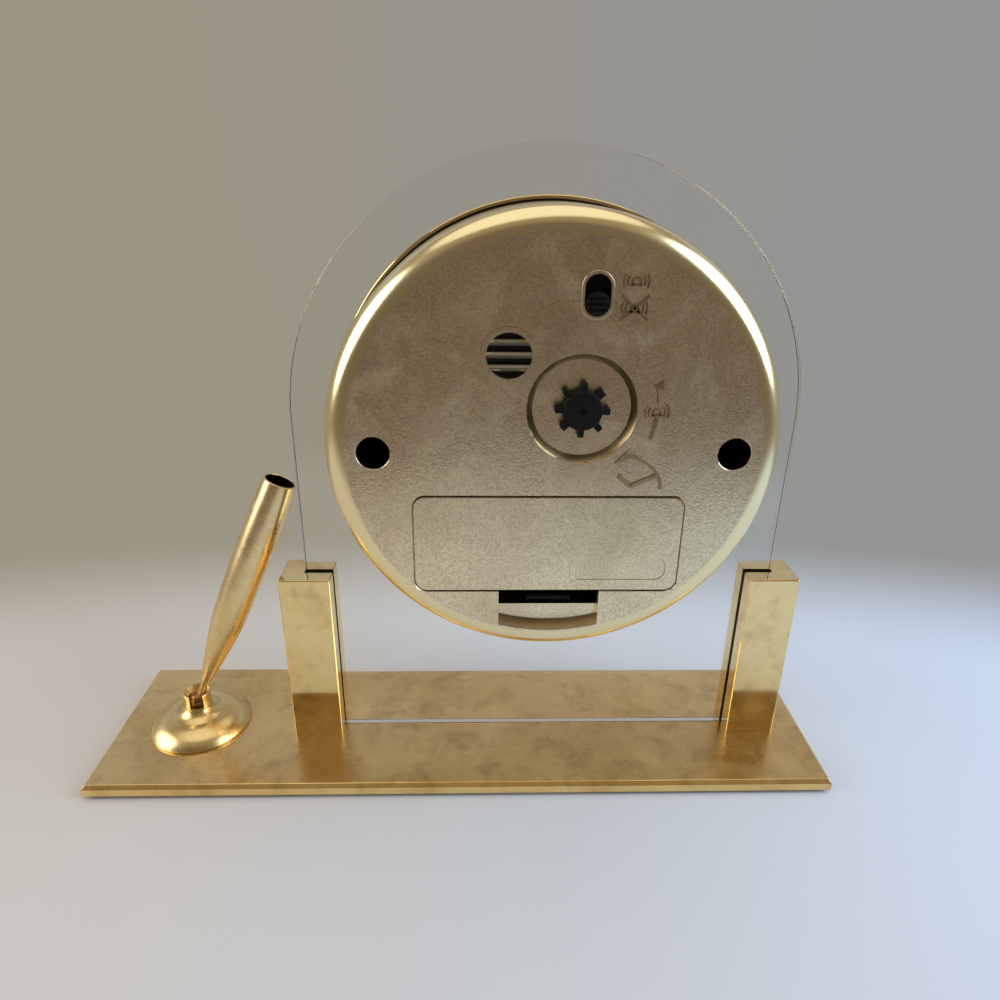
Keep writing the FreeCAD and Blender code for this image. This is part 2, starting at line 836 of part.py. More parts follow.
def battery_contact_plus():
    """Flat contact at the tip of the cell."""
    half_depth = contact_depth / 2
    half_height = contact_height / 2
    return in_clock(block((bay_right - contact_thickness, battery_y - half_depth, bay_centre_z - half_height),
                          (bay_right, battery_y + half_depth, bay_centre_z + half_height)))


def battery_contact_minus():
    """Bent leaf that presses on the flat end of the cell."""
    left = bay_left
    tip = battery_left - contact_play
    t = contact_thickness
    reach = contact_height / 2
    path = [(left, -reach), (left, reach), (left + t, reach), (left + t, -0.88 * reach),
            (tip - t, -0.16 * reach), (tip - t, 0.5 * reach), (tip, 0.5 * reach), (tip, -0.22 * reach),
            (left + t, -reach)]
    corners = [Vector(x, battery_y + rise, bay_centre_z - spring_width / 2) for x, rise in path]
    leaf = Part.Face(Part.makePolygon(corners + corners[:1])).extrude(Vector(0, 0, spring_width))
    return in_clock(leaf)


def movement_screw_places():
    """Four places round the movement's flange, clear of its box."""
    radius = (front_floor_hole + housing_flange_radius) / 2
    places = []
    for degrees in (30, 150, 210, 330):
        angle = math.radians(degrees)
        places.append((radius * math.cos(angle), radius * math.sin(angle)))
    return places


def movement_housing():
    """Front half of the movement: a round cup that carries the date ring, a flange and a box for the train."""
    inner_y = housing_front_y + housing_wall
    rim_y = dial_seat_y + 0.1
    cup = rod(0, 0, housing_cup_radius, housing_front_y, 0)
    rim = ring(0, 0, housing_cup_radius, date_ring_outer + 0.1, rim_y, housing_front_y)
    boss = rod(0, 0, boss_pipe_radius, dial_front_y + 0.1, housing_front_y)
    flange = rod(0, 0, housing_flange_radius, 0, housing_flange_thickness)
    box = block((-housing_half_width, 0, housing_low), (housing_half_width, cover_y, housing_high))
    body = joined(cup, rim, boss, flange, box)
    body = body.cut(rod(0, 0, housing_cup_radius - housing_wall, inner_y, 0))
    wall = housing_box_wall
    body = body.cut(block((-housing_half_width + wall, -0.1, housing_low + wall),
                          (housing_half_width - wall, cover_y + 1, housing_high - wall)))
    body = body.cut(rod(0, 0, alarm_pipe_radius + running_clearance, dial_front_y - 1, inner_y + 1))
    body = body.cut(rod(knob_x, knob_z, shaft_radius / 2 + running_clearance, inner_y - pivot_depth, inner_y))
    body = body.cut(rod(date_x, date_z, arbor_radius * 2 + running_clearance, housing_front_y - 1, inner_y + 1))
    for x, z in movement_screw_places():
        body = body.cut(rod(x, z, small_screw_radius + pass_clearance, -1, 2))
    return in_clock(body)


def movement_screws():
    """Four small screws through the movement's flange into the front case."""
    screws = []
    top = housing_flange_thickness
    for x, z in movement_screw_places():
        head = rod(x, z, small_screw_radius * 2, top, top + small_screw_head_height)
        shank = rod(x, z, small_screw_radius, -small_screw_length, top)
        reach = small_screw_radius * 2 + 1
        slot = block((x - reach, top + small_screw_head_height / 2, z - small_screw_radius / 4),
                     (x + reach, top + small_screw_head_height + 1, z + small_screw_radius / 4))
        screws.append(in_clock(joined(head, shank).cut(slot)))
    return Part.makeCompound(screws)


def train_plate():
    """Middle plate that parts the motion work from the going train."""
    inset = housing_box_wall + pivot_play
    half = housing_half_width - inset
    back = train_plate_back_y
    plate = block((-half, train_plate_y, housing_low + inset), (half, back, housing_high - inset))
    plate = plate.cut(rod(0, 0, minute_pipe_radius + running_clearance, train_plate_y - 1, back + 1))
    plate = plate.cut(rod(knob_x, knob_z, shaft_radius + running_clearance, train_plate_y - 1, back + 1))
    for x, z in ((third_x, third_z), (drive_x, drive_z), (rotor_x, rotor_z)):
        plate = plate.cut(rod(x, z, arbor_radius + running_clearance, back - pivot_depth, back + 1))
    return in_clock(plate)


def movement_cover():
    """Back plate of the movement, with pegs that hold the stator."""
    back = cover_y + cover_thickness
    plate = block((-housing_half_width, cover_y, housing_low), (housing_half_width, back, housing_high))
    inset = stator_arm / 2
    pegs = [rod(x, coil_z, stator_peg_radius, stator_y + stator_thickness, cover_y)
            for x in (stator_left + inset, stator_right - inset)]
    plate = joined(plate, *pegs)
    plate = plate.cut(rod(knob_x, knob_z, shaft_radius + running_clearance, cover_y - 1, back + 1))
    for x, z in ((0, 0), (third_x, third_z), (drive_x, drive_z), (rotor_x, rotor_z)):
        plate = plate.cut(rod(x, z, arbor_radius + running_clearance, cover_y - 1, cover_y + pivot_depth))
    return in_clock(plate)


def stator():
    """Soft-iron plate round the rotor, with two arms up to the coil."""
    top = coil_z + core_width / 2 + 0.3
    arm_low = rotor_z + stator_hole_radius
    back = stator_y + stator_thickness
    shape = joined(rod(rotor_x, rotor_z, stator_ring_radius, stator_y, back),
                   block((stator_left, stator_y, arm_low), (rotor_x, back, arm_low + stator_bridge)),
                   block((stator_left, stator_y, arm_low), (stator_left + stator_arm, back, top)),
                   block((stator_right - stator_arm, stator_y, rotor_z), (stator_right, back, top)))
    return in_clock(shape.cut(rod(rotor_x, rotor_z, stator_hole_radius, stator_y - 1, back + 1)))


def coil():
    """Wound coil on its flanged bobbin and iron core."""
    y = stator_y - core_thickness / 2
    start = stator_left + stator_arm + coil_gap
    end = stator_right - stator_arm - coil_gap
    core = block((stator_left, stator_y - core_thickness, coil_z - core_width / 2),
                 (stator_right, stator_y, coil_z + core_width / 2))
    along = Vector(1, 0, 0)
    flange = coil_flange_thickness
    winding = Part.makeCylinder(coil_radius, end - start, Vector(start, y, coil_z), along)
    near = Part.makeCylinder(coil_flange_radius, flange, Vector(start, y, coil_z), along)
    far = Part.makeCylinder(coil_flange_radius, flange, Vector(end - flange, y, coil_z), along)
    return in_clock(joined(core, winding, near, far))


def train_arbor(x, z):
    """Thin arbor between its blind holes in the middle plate and in the cover."""
    return rod(x, z, arbor_radius, train_plate_back_y - pivot_depth + pivot_play, cover_y + pivot_depth - pivot_play)


def wheel_at(x, z, teeth, module, front, tooth_at):
    """Wheel of the going train, with its front face at y = front."""
    return gear(x, z, teeth, module, front, front + wheel_thickness, tooth_at)


def pinion_at(x, z, teeth, module, front, heading):
    """Pinion of the going train, with a gap facing back along the heading from its mate."""
    return gear(x, z, teeth, module, front, front + train_pinion_length, gap_facing(heading, teeth))


def rotor():
    """Small magnet with its pinion and arbor."""
    magnet = rod(rotor_x, rotor_z, stator_hole_radius - magnet_gap, magnet_y, magnet_y + magnet_length)
    pinion = pinion_at(rotor_x, rotor_z, rotor_pinion_teeth, rotor_module, rotor_pinion_y, rotor_heading)
    return in_clock(joined(train_arbor(rotor_x, rotor_z), magnet, pinion))


def drive_wheel():
    """First wheel after the rotor, with the pinion that turns the second wheel."""
    wheel = wheel_at(drive_x, drive_z, drive_wheel_teeth, rotor_module, drive_wheel_y, rotor_heading)
    pinion = pinion_at(drive_x, drive_z, drive_pinion_teeth, drive_module, drive_pinion_y, drive_heading)
    return in_clock(joined(train_arbor(drive_x, drive_z), wheel, pinion))


def second_wheel():
    """Wheel and pinion on the long thin arbor of the second hand."""
    tip = dial_front_y - 4 * hand_pitch - pipe_tip
    front = rod(0, 0, second_arbor_radius, tip, second_pinion_y)
    rear = rod(0, 0, arbor_radius, second_pinion_y, cover_y + pivot_depth - pivot_play)
    wheel = wheel_at(0, 0, second_wheel_teeth, drive_module, second_wheel_y, drive_heading)
    pinion = pinion_at(0, 0, second_pinion_teeth, second_module, second_pinion_y, third_heading + math.pi)
    return in_clock(joined(front, rear, wheel, pinion))


def third_wheel():
    """Wheel between the second wheel and the centre wheel."""
    wheel = wheel_at(third_x, third_z, third_wheel_teeth, second_module, third_wheel_y, third_heading + math.pi)
    pinion = pinion_at(third_x, third_z, third_pinion_teeth, centre_module, third_pinion_y, third_heading)
    return in_clock(joined(train_arbor(third_x, third_z), wheel, pinion))


def centre_wheel():
    """Wheel that turns the minute pipe through a friction fit, so that the hands can be set."""
    wheel = wheel_at(0, 0, centre_wheel_teeth, centre_module, centre_wheel_y, third_heading)
    bore = rod(0, 0, cannon_neck_radius + running_clearance, centre_wheel_y - 1, centre_wheel_y + wheel_thickness + 1)
    return in_clock(wheel.cut(bore))


def cannon_pinion():
    """Minute pipe with the pinion of the motion work."""
    tip = dial_front_y - 3 * hand_pitch - pipe_tip
    end = cannon_neck_y + cannon_neck_length
    pipe = rod(0, 0, minute_pipe_radius, tip, cannon_neck_y)
    neck = rod(0, 0, cannon_neck_radius, cannon_neck_y, end)
    pinion = gear(0, 0, cannon_teeth, setting_module, cannon_pinion_y, cannon_pinion_y + cannon_pinion_length,
                  knob_heading)
    shape = joined(pipe, neck, pinion)
    return in_clock(shape.cut(rod(0, 0, second_arbor_radius + running_clearance, tip - 1, end + 1)))


def minute_wheel():
    """Wheel and pinion on the setting shaft, between the minute pipe and the hour wheel."""
    facing = gap_facing(knob_heading, minute_wheel_teeth)
    wheel = gear(knob_x, knob_z, minute_wheel_teeth, setting_module, minute_wheel_y,
                 minute_wheel_y + minute_wheel_thickness, facing)
    pinion_end = minute_pinion_y + motion_pinion_length
    hub = rod(knob_x, knob_z, shaft_radius * 0.8, pinion_end, minute_wheel_y)
    facing = gap_facing(knob_heading, minute_pinion_teeth)
    pinion = gear(knob_x, knob_z, minute_pinion_teeth, setting_module, minute_pinion_y, pinion_end, facing)
    front_pivot = rod(knob_x, knob_z, shaft_radius / 2, housing_front_y + housing_wall - pivot_depth + pivot_play,
                      minute_pinion_y)
    return in_clock(joined(wheel, hub, pinion, front_pivot))


def hour_wheel():
    """Wheel on the hour pipe, with the pinion that turns the calendar once in two turns."""
    tip = dial_front_y - 2 * hand_pitch - pipe_tip
    back = hour_wheel_y + wheel_thickness
    wheel = gear(0, 0, hour_wheel_teeth, setting_module, hour_wheel_y, back, knob_heading)
    pinion = gear(0, 0, date_pinion_teeth, date_module, date_pinion_y, hour_wheel_y, date_heading)
    pipe = rod(0, 0, hour_pipe_radius, tip, back)
    shape = joined(wheel, pinion, pipe)
    return in_clock(shape.cut(rod(0, 0, minute_pipe_radius + running_clearance, tip - 1, back + 1)))


def alarm_wheel():
    """Wheel on the alarm pipe."""
    tip = dial_front_y - hand_pitch - pipe_tip
    back = alarm_wheel_y + alarm_wheel_thickness
    wheel = gear(0, 0, hour_wheel_teeth, setting_module, alarm_wheel_y, back, knob_heading)
    pipe = rod(0, 0, alarm_pipe_radius, tip, back)
    shape = joined(wheel, pipe)
    return in_clock(shape.cut(rod(0, 0, hour_pipe_radius + running_clearance, tip - 1, back + 1)))


def alarm_pinion():
    """One-way pinion, loose on the setting arbor, that turns the alarm wheel."""
    facing = gap_facing(knob_heading, minute_pinion_teeth)
    back = alarm_pinion_y + alarm_pinion_length
    pinion = gear(knob_x, knob_z, minute_pinion_teeth, setting_module, alarm_pinion_y, back, facing)
    return in_clock(pinion.cut(rod(knob_x, knob_z, shaft_radius / 2 + running_clearance, alarm_pinion_y - 1, back + 1)))


def date_wheel():
    """Wheel that turns once a day and steps the date ring with its finger."""
    facing = gap_facing(date_heading, date_wheel_teeth)
    back = date_wheel_y + date_wheel_thickness
    hub_back = housing_front_y - pivot_play
    wheel = gear(date_x, date_z, date_wheel_teeth, date_module, date_wheel_y, back, facing)
    arbor = rod(date_x, date_z, arbor_radius * 2, date_ring_y, back)
    hub = rod(date_x, date_z, date_hub_radius, date_ring_y, hub_back)
    reach = date_ring_inner - date_tooth_height - date_distance + date_finger_bite
    half = date_finger_width / 2
    finger = block((date_x - half, date_ring_y, date_z), (date_x + half, hub_back, date_z + reach))
    return in_clock(joined(wheel, arbor, hub, finger))


def date_ring():
    """Calendar ring with thirty-one teeth round its inside."""
    y0 = date_ring_y
    annulus = ring(0, 0, date_ring_outer, date_ring_inner - date_tooth_height - 1, y0, y0 + date_ring_thickness)
    pitch = 2 * math.pi / date_ring_teeth
    corners = []
    for tooth in range(date_ring_teeth):
        middle = tooth * pitch
        tip = date_ring_inner - date_tooth_height
        for radius, share in ((date_ring_inner, -0.18), (tip, -0.08), (tip, 0.08), (date_ring_inner, 0.18)):
            angle = middle + share * pitch
            corners.append(Vector(radius * math.cos(angle), y0 - 1, radius * math.sin(angle)))
    hole = Part.Face(Part.makePolygon(corners + corners[:1])).extrude(Vector(0, date_ring_thickness + 2, 0))
    return in_clock(annulus.cut(hole))


def setting_knob():
    """Ribbed black knob with its shaft."""
    floor = recess_floor_y + knob_floor_gap
    top = floor + knob_height
    foot = minute_wheel_y + minute_wheel_thickness
    bevel = knob_edge_bevel
    dimple = knob_dimple_radius
    body = turned_y((0, foot), (shaft_radius, foot), (shaft_radius, floor), (knob_radius, floor),
                    (knob_radius, top - bevel), (knob_radius - bevel, top), (dimple, top),
                    (dimple, top - knob_dimple_depth), (0, top - knob_dimple_depth))
    half = knob_rib_width / 2
    rib = block((knob_radius - knob_rib_root, floor, -half), (knob_rib_reach, top - knob_rib_drop, half))
    ribs = [turn_about_y(rib, 360.0 * index / knob_ribs + knob_rib_turn) for index in range(knob_ribs)]
    knob = joined(body, *ribs)
    knob.translate(Vector(knob_x, 0, knob_z))
    return in_clock(knob)


def alarm_switch():
    """Slider at its lower, silent end: a round button on a plate, with a leg down to the board."""
    z = switch_z - switch_travel / 2
    plate_back = back_floor_y - switch_plate_play
    plate_front = plate_back - switch_plate_thickness
    plate = block((switch_x - switch_plate_width / 2, plate_front, z - switch_plate_height / 2),
                  (switch_x + switch_plate_width / 2, plate_back, z + switch_plate_height / 2))
    half = switch_leg_width / 2
    leg = block((switch_x - half, board_back_y + pivot_play, z - half), (switch_x + half, plate_front, z + half))
    top = back_face_y + switch_button_rise
    slider = joined(plate, leg, rod(switch_x, z, switch_button_radius, plate_back, top))
    for step in (-1, 0, 1):
        middle = z + step * switch_grip_pitch
        groove = block((switch_x - switch_button_radius - 1, top - switch_grip_depth, middle - switch_grip_width / 2),
                       (switch_x + switch_button_radius + 1, top + 1, middle + switch_grip_width / 2))
        slider = slider.cut(groove)
    return in_clock(slider)


def buzzer():
    """Round sounder on the board behind the grille."""
    top = back_floor_y - buzzer_gap
    can = rod(buzzer_x, buzzer_z, buzzer_radius, board_back_y, top)
    return in_clock(can.cut(rod(buzzer_x, buzzer_z, buzzer_hole_radius, top - buzzer_hole_depth, top + 1)))


def circuit_board():
    """Board on the back of the movement, reaching up to the alarm switch."""
    half = housing_half_width - board_margin
    high = switch_z + switch_travel / 2 + board_high_margin
    board = block((-half, board_y, board_low), (half, board_back_y, high))
    board = board.cut(rod(knob_x, knob_z, shaft_radius * 1.5, board_y - 1, board_back_y + 1))
    chip = rounded_plate(chip_size, chip_size, chip_corner, chip_x, chip_z, board_back_y, board_back_y + chip_height)
    crystal = rounded_plate(crystal_width, crystal_length, crystal_corner, crystal_x, crystal_z,
                            board_back_y, board_back_y + crystal_height)
    return in_clock(joined(board, chip, crystal))


def flat_hand(length, tail, width, tip_width, order, degrees, bore):
    """Straight tapered hand on its pipe, counted out from the dial, at its angle from twelve."""
    y0 = dial_front_y - order * hand_pitch - hand_thickness / 2
    y1 = y0 + hand_thickness
    blade = sheet_y(y0, y1, (-width * 0.35, -tail), (width * 0.35, -tail), (width / 2, length * 0.25),
                    (tip_width / 2, length - tip_width), (0, length), (-tip_width / 2, length - tip_width),
                    (-width / 2, length * 0.25))
    collar = rod(0, 0, bore + hand_collar, y0, y1)
    hand = joined(blade, collar).cut(rod(0, 0, bore, y0 - 1, y1 + 1))
    return in_clock(turn_about_y(hand, degrees))


def hour_hand():
    """Broad short hand."""
    return flat_hand(hour_length, 6.0, 3.4, 1.4, 2, hour_angle, hour_pipe_radius)


def minute_hand():
    """Broad long hand."""
    return flat_hand(minute_length, 7.0, 2.8, 1.2, 3, minute_angle, minute_pipe_radius)


def alarm_hand():
    """Short slim hand nearest the dial."""
    return flat_hand(alarm_length, 4.5, 1.4, 0.9, 1, alarm_angle, alarm_pipe_radius)


def second_hand():
    """Thin hand with a counterweight, on top of the others."""
    y0 = dial_front_y - 4 * hand_pitch - hand_thickness / 2
    y1 = y0 + hand_thickness
    half = second_width / 2
    blade = sheet_y(y0, y1, (-half, -second_tail), (half, -second_tail), (0.4 * half, second_length),
                    (-0.4 * half, second_length))
    weight = rod(0, second_weight_z, second_weight_radius, y0, y1)
    hub = rod(0, 0, second_arbor_radius + 1, y0 - hand_thickness, y1)
    hand = joined(blade, weight, hub).cut(rod(0, 0, second_arbor_radius, y0, y1 + 1))
    return in_clock(turn_about_y(hand, second_angle))


def pen_socket():
    """Round domed foot that sweeps up to a neck, with a stud down through the base."""
    neck = socket_neck_radius
    stud_low = -base_thickness + socket_stud_gap
    rim = socket_radius
    dome = socket_dome_radius
    dome_top = socket_dome_height
    bore = ball_radius + ball_clearance
    floor = socket_rim + socket_floor
    foot = turned_z((0, stud_low), (socket_stud_radius, stud_low), (socket_stud_radius, 0), (rim, 0), (rim, socket_rim),
                    ((0.6 * rim + 0.4 * dome, 0.34 * socket_rim + 0.66 * dome_top), (dome, dome_top)),
                    ((0.65 * neck + 0.35 * dome, 0.68 * dome_top + 0.32 * socket_neck_height),
                     (neck, socket_neck_height)),
                    (bore, socket_neck_height), (bore, floor), (0, floor))
    return at_holder(foot)


def socket_cap():
    """Ring screwed on the neck that keeps the ball in, slotted on one side for the funnel's stem."""
    socket = ball_radius + ball_clearance
    throat = cap_throat_radius
    throat_z = ball_height + math.sqrt(socket ** 2 - throat ** 2)
    middle = (0.45 * socket + 0.55 * throat) + ball_clearance
    middle_z = ball_height + math.sqrt(socket ** 2 - middle ** 2)
    cap = turned_z((cap_base_radius, socket_neck_height), (cap_waist_radius, cap_waist_height),
                   (cap_top_radius, cap_height), (cap_mouth_radius, cap_height), (throat, throat_z),
                   ((middle, middle_z), (socket, ball_height)), (socket, socket_neck_height))
    slot = block((0, -cap_slot_width / 2, cap_slot_floor), (socket_radius, cap_slot_width / 2, cap_height + 1))
    slot.rotate(Vector(0, 0, 0), Vector(0, 0, 1), cap_slot_heading)
    return at_holder(cap.cut(slot))


def ball_seat():
    """Plastic seat under the ball, turning with it in the neck."""
    top = ball_height - seat_drop
    seat = Part.makeCylinder(ball_radius + running_clearance, seat_height, Vector(0, 0, top - seat_height))
    hollow = Part.makeSphere(ball_radius + running_clearance, Vector(0, 0, ball_height))
    return at_holder(seat.cut(hollow))


def seat_washer():
    """Dished spring washer that presses the seat up."""
    low = socket_rim + socket_floor
    high = ball_height - seat_drop - seat_height
    t = washer_thickness
    bore = washer_bore_radius
    washer = turned_z((bore, high - t), (bore, high), (bore + washer_land, high), (ball_radius, low + t),
                      (ball_radius, low), (ball_radius - t, low))
    return at_holder(washer)


def socket_nut():
    """Hexagonal nut on the stud, sunk in the underside of the base."""
    hexagon = [Vector(nut_width / math.sqrt(3) * math.cos(math.radians(60 * i)),
                      nut_width / math.sqrt(3) * math.sin(math.radians(60 * i)), -base_thickness + 0.1)
               for i in range(6)]
    prism = Part.Face(Part.makePolygon(hexagon + hexagon[:1])).extrude(Vector(0, 0, nut_height))
    bore = Part.makeCylinder(socket_stud_radius + thread_clearance, 5, Vector(0, 0, -base_thickness - 1))
    return at_holder(prism.cut(bore))


def along_funnel(shape):
    """Lean a piece drawn upright about the ball's centre, and carry it there."""
    placed = shape.copy()
    placed.rotate(Vector(0, 0, 0), Vector(0, 1, 0), funnel_lean)
    placed.rotate(Vector(0, 0, 0), Vector(0, 0, 1), funnel_heading)
    placed.translate(Vector(holder_x, 0, ball_z))
    return placed


def pen_funnel():
    """Thin tapered tube for the pen, swelling to its belly and drawn in a little at the mouth."""
    stem = funnel_stem_radius
    stem_end = funnel_stem_length
    stem_foot = ball_radius - funnel_stem_sink
    shoulder = funnel_shoulder_radius
    swell = (stem + shoulder) / 2 + funnel_shoulder_swell
    belly_height = (funnel_shoulder + funnel_length) / 2
    bore = funnel_bore_radius
    bore_start = funnel_length - funnel_bore_length
    tip_start = bore_start - funnel_bore_taper
    tube = turned_z((0, stem_foot), (stem, stem_foot), (stem, stem_end),
                    ((swell, (stem_end + funnel_shoulder) / 2), (shoulder, funnel_shoulder)),
                    ((funnel_belly_radius, belly_height), (funnel_mouth_radius, funnel_length)),
                    (bore, funnel_length), (bore, bore_start), (funnel_bore_tip, tip_start), (0, tip_start))
    return along_funnel(tube)


def funnel_ball():
    """Ball at the foot of the funnel, bored for its stem."""
    ball = Part.makeSphere(ball_radius)
    hole = Part.makeCylinder(funnel_stem_radius, ball_radius, Vector(0, 0, ball_radius - funnel_stem_sink))
    return along_funnel(ball.cut(hole))


pieces = {
    "base_pad": base_pad,
    "base_plate": base_plate,
    "post_left": lambda: post(-1),
    "post_right": lambda: post(1),
    "post_screws": post_screws,
    "clear_plate": clear_plate,
    "front_case": front_case,
    "bezel": bezel,
    "lens": lens,
    "inner_ring": inner_ring,
    "dial": dial,
    "back_case": back_case,
    "case_screws": case_screws,
    "battery_door": battery_door,
    "battery": battery,
    "battery_contact_plus": battery_contact_plus,
    "battery_contact_minus": battery_contact_minus,
    "movement_housing": movement_housing,
    "movement_screws": movement_screws,
    "train_plate": train_plate,
    "movement_cover": movement_cover,
    "circuit_board": circuit_board,
    "buzzer": buzzer,
    "coil": coil,
    "stator": stator,
    "rotor": rotor,
    "drive_wheel": drive_wheel,
    "second_wheel": second_wheel,
    "third_wheel": third_wheel,
    "centre_wheel": centre_wheel,
    "cannon_pinion": cannon_pinion,
    "minute_wheel": minute_wheel,
    "hour_wheel": hour_wheel,
    "alarm_wheel": alarm_wheel,
    "alarm_pinion": alarm_pinion,
    "date_wheel": date_wheel,
    "date_ring": date_ring,
    "setting_knob": setting_knob,
    "alarm_switch": alarm_switch,
    "hour_hand": hour_hand,
    "minute_hand": minute_hand,
    "second_hand": second_hand,
    "alarm_hand": alarm_hand,
    "pen_socket": pen_socket,
    "socket_cap": socket_cap,
    "ball_seat": ball_seat,
    "seat_washer": seat_washer,
    "socket_nut": socket_nut,
    "pen_funnel": pen_funnel,
    "funnel_ball": funnel_ball,
}

shapes = {}
for name, make in pieces.items():
    shapes[name] = make()
    shapes[name].exportStep("parts/" + name + ".step")
    print(name, len(shapes[name].Solids), "solids", round(shapes[name].Volume, 1), "mm3", shapes[name].isValid())
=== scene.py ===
"""Looks of a desk set: a round alarm clock in an arched clear plate, and a pen holder, on a brass base.

Sizes are in millimetres until a piece is settled, which turns them into metres. The dial faces -Y.
"""

import json
import logging
import math
from dataclasses import dataclass
from enum import Enum
from typing import Callable, Iterable, Sequence

import bmesh
import bpy
from mathutils import Matrix, Vector

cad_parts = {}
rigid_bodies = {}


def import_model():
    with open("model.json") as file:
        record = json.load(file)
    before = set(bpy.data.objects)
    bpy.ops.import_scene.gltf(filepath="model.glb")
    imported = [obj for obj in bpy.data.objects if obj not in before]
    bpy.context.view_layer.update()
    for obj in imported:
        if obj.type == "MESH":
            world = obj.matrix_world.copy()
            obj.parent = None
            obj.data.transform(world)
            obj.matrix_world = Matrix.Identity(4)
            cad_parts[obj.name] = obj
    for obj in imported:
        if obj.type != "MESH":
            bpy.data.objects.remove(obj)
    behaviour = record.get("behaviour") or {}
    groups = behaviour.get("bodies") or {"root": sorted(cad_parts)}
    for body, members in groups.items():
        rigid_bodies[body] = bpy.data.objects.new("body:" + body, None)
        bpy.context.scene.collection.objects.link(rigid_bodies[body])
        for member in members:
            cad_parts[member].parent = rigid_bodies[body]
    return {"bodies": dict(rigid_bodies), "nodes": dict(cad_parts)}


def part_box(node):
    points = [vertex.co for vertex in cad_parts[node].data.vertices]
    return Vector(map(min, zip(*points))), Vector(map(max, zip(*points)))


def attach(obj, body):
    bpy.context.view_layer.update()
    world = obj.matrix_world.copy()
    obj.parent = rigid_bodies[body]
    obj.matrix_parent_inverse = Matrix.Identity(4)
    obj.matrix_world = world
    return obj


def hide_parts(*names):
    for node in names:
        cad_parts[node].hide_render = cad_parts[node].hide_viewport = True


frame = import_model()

LOG = logging.getLogger("desk_set")
MM = 0.001
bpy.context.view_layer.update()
OVERCUT = 2.0
CORNER_SPREAD = 1.4

Point = tuple[float, float]
Colour = tuple[float, float, float]
FaceTest = Callable[[bmesh.types.BMFace], bool]


class Axis(Enum):
    """Main directions of the set."""

    X = (1.0, 0.0, 0.0)
    Y = (0.0, 1.0, 0.0)
    Z = (0.0, 0.0, 1.0)

    @property
    def vector(self) -> Vector:
        """The direction as a vector."""
        return Vector(self.value)


class Cut(Enum):
    """Ways to combine two closed shapes."""

    AWAY = "DIFFERENCE"
    WITH = "UNION"
    SHARED = "INTERSECT"


@dataclass(frozen=True)
class Places:
    """Reference places of the set, in millimetres, read from the frame."""

    clock_x: float
    clock_z: float
    base_top: float
    holder_x: float
    face_y: float
    lens_front: float
    lens_back: float
    dial_front: float
    dial_back: float

    @classmethod
    def read(cls) -> "Places":
        """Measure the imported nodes.

        Returns:
            The places, in millimetres.
        """
        low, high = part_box("bezel")
        socket_low, socket_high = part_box("pen_socket")
        lens_low, lens_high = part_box("lens")
        dial_low, dial_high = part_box("dial")
        return cls(
            clock_x=(low.x + high.x) / 2 / MM,
            clock_z=(low.z + high.z) / 2 / MM,
            base_top=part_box("base_plate")[1].z / MM,
            holder_x=(socket_low.x + socket_high.x) / 2 / MM,
            face_y=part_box("battery_door")[1].y / MM,
            lens_front=lens_low.y / MM,
            lens_back=lens_high.y / MM,
            dial_front=dial_low.y / MM,
            dial_back=dial_high.y / MM,
        )

    def at_clock(self, shape: bmesh.types.BMesh) -> bmesh.types.BMesh:
        """Carry a shape drawn about the hands' axis to its place."""
        return moved(shape, self.clock_x, 0, self.clock_z)

    def at_holder(self, shape: bmesh.types.BMesh) -> bmesh.types.BMesh:
        """Carry a shape drawn about the pen holder's upright axis to its place."""
        return moved(shape, self.holder_x, 0, self.base_top)


# Shapes


def merged(shapes: Iterable[bmesh.types.BMesh]) -> bmesh.types.BMesh:
    """Put several shapes into one mesh as separate islands."""
    whole = bmesh.new()
    for shape in shapes:
        part = bpy.data.meshes.new("part")
        shape.to_mesh(part)
        whole.from_mesh(part)
        shape.free()
        bpy.data.meshes.remove(part)
    return whole


def turned(outline: Sequence[Point], segments: int, axis: Axis = Axis.Y, closed: bool = False,
           angle: float = 2 * math.pi, start: float = 0.0) -> bmesh.types.BMesh:
    """Turn an outline in (radius, along) about an axis.

    Args:
        outline: Points of the outline, in order.
        segments: Steps round the turn.
        axis: Axis of the turn, Y or Z.
        closed: Whether the outline ends where it starts.
        angle: How far it turns, in radians.
        start: Where the turn starts, in radians.

    Returns:
        The turned shape.
    """
    shape = bmesh.new()
    if axis is Axis.Y:
        corners = [shape.verts.new((radius, along, 0)) for radius, along in outline]
    else:
        corners = [shape.verts.new((radius, 0, along)) for radius, along in outline]
    whole = angle > 2 * math.pi - 1e-6
    if closed and not whole:
        shape.faces.new(corners)
    else:
        for first, second in zip(corners, corners[1:]):
            shape.edges.new((first, second))
        if closed:
            shape.edges.new((corners[-1], corners[0]))
    bmesh.ops.rotate(shape, verts=shape.verts, cent=(0, 0, 0), matrix=Matrix.Rotation(start, 3, axis.vector))
    everything = shape.verts[:] + shape.edges[:] + shape.faces[:]
    bmesh.ops.spin(shape, geom=everything, cent=(0, 0, 0), axis=axis.vector, angle=angle, steps=segments,
                   use_merge=whole, use_duplicate=False)
    bmesh.ops.remove_doubles(shape, verts=shape.verts, dist=1e-4)
    bmesh.ops.recalc_face_normals(shape, faces=shape.faces)
    return shape


def arc(centre: Point, radius: float, start: float, end: float, steps: int) -> list[Point]:
    """Points along an arc of an outline, angles in degrees."""
    points = []
    for step in range(steps + 1):
        angle = math.radians(start + (end - start) * step / steps)
        points.append((centre[0] + radius * math.cos(angle), centre[1] + radius * math.sin(angle)))
    return points


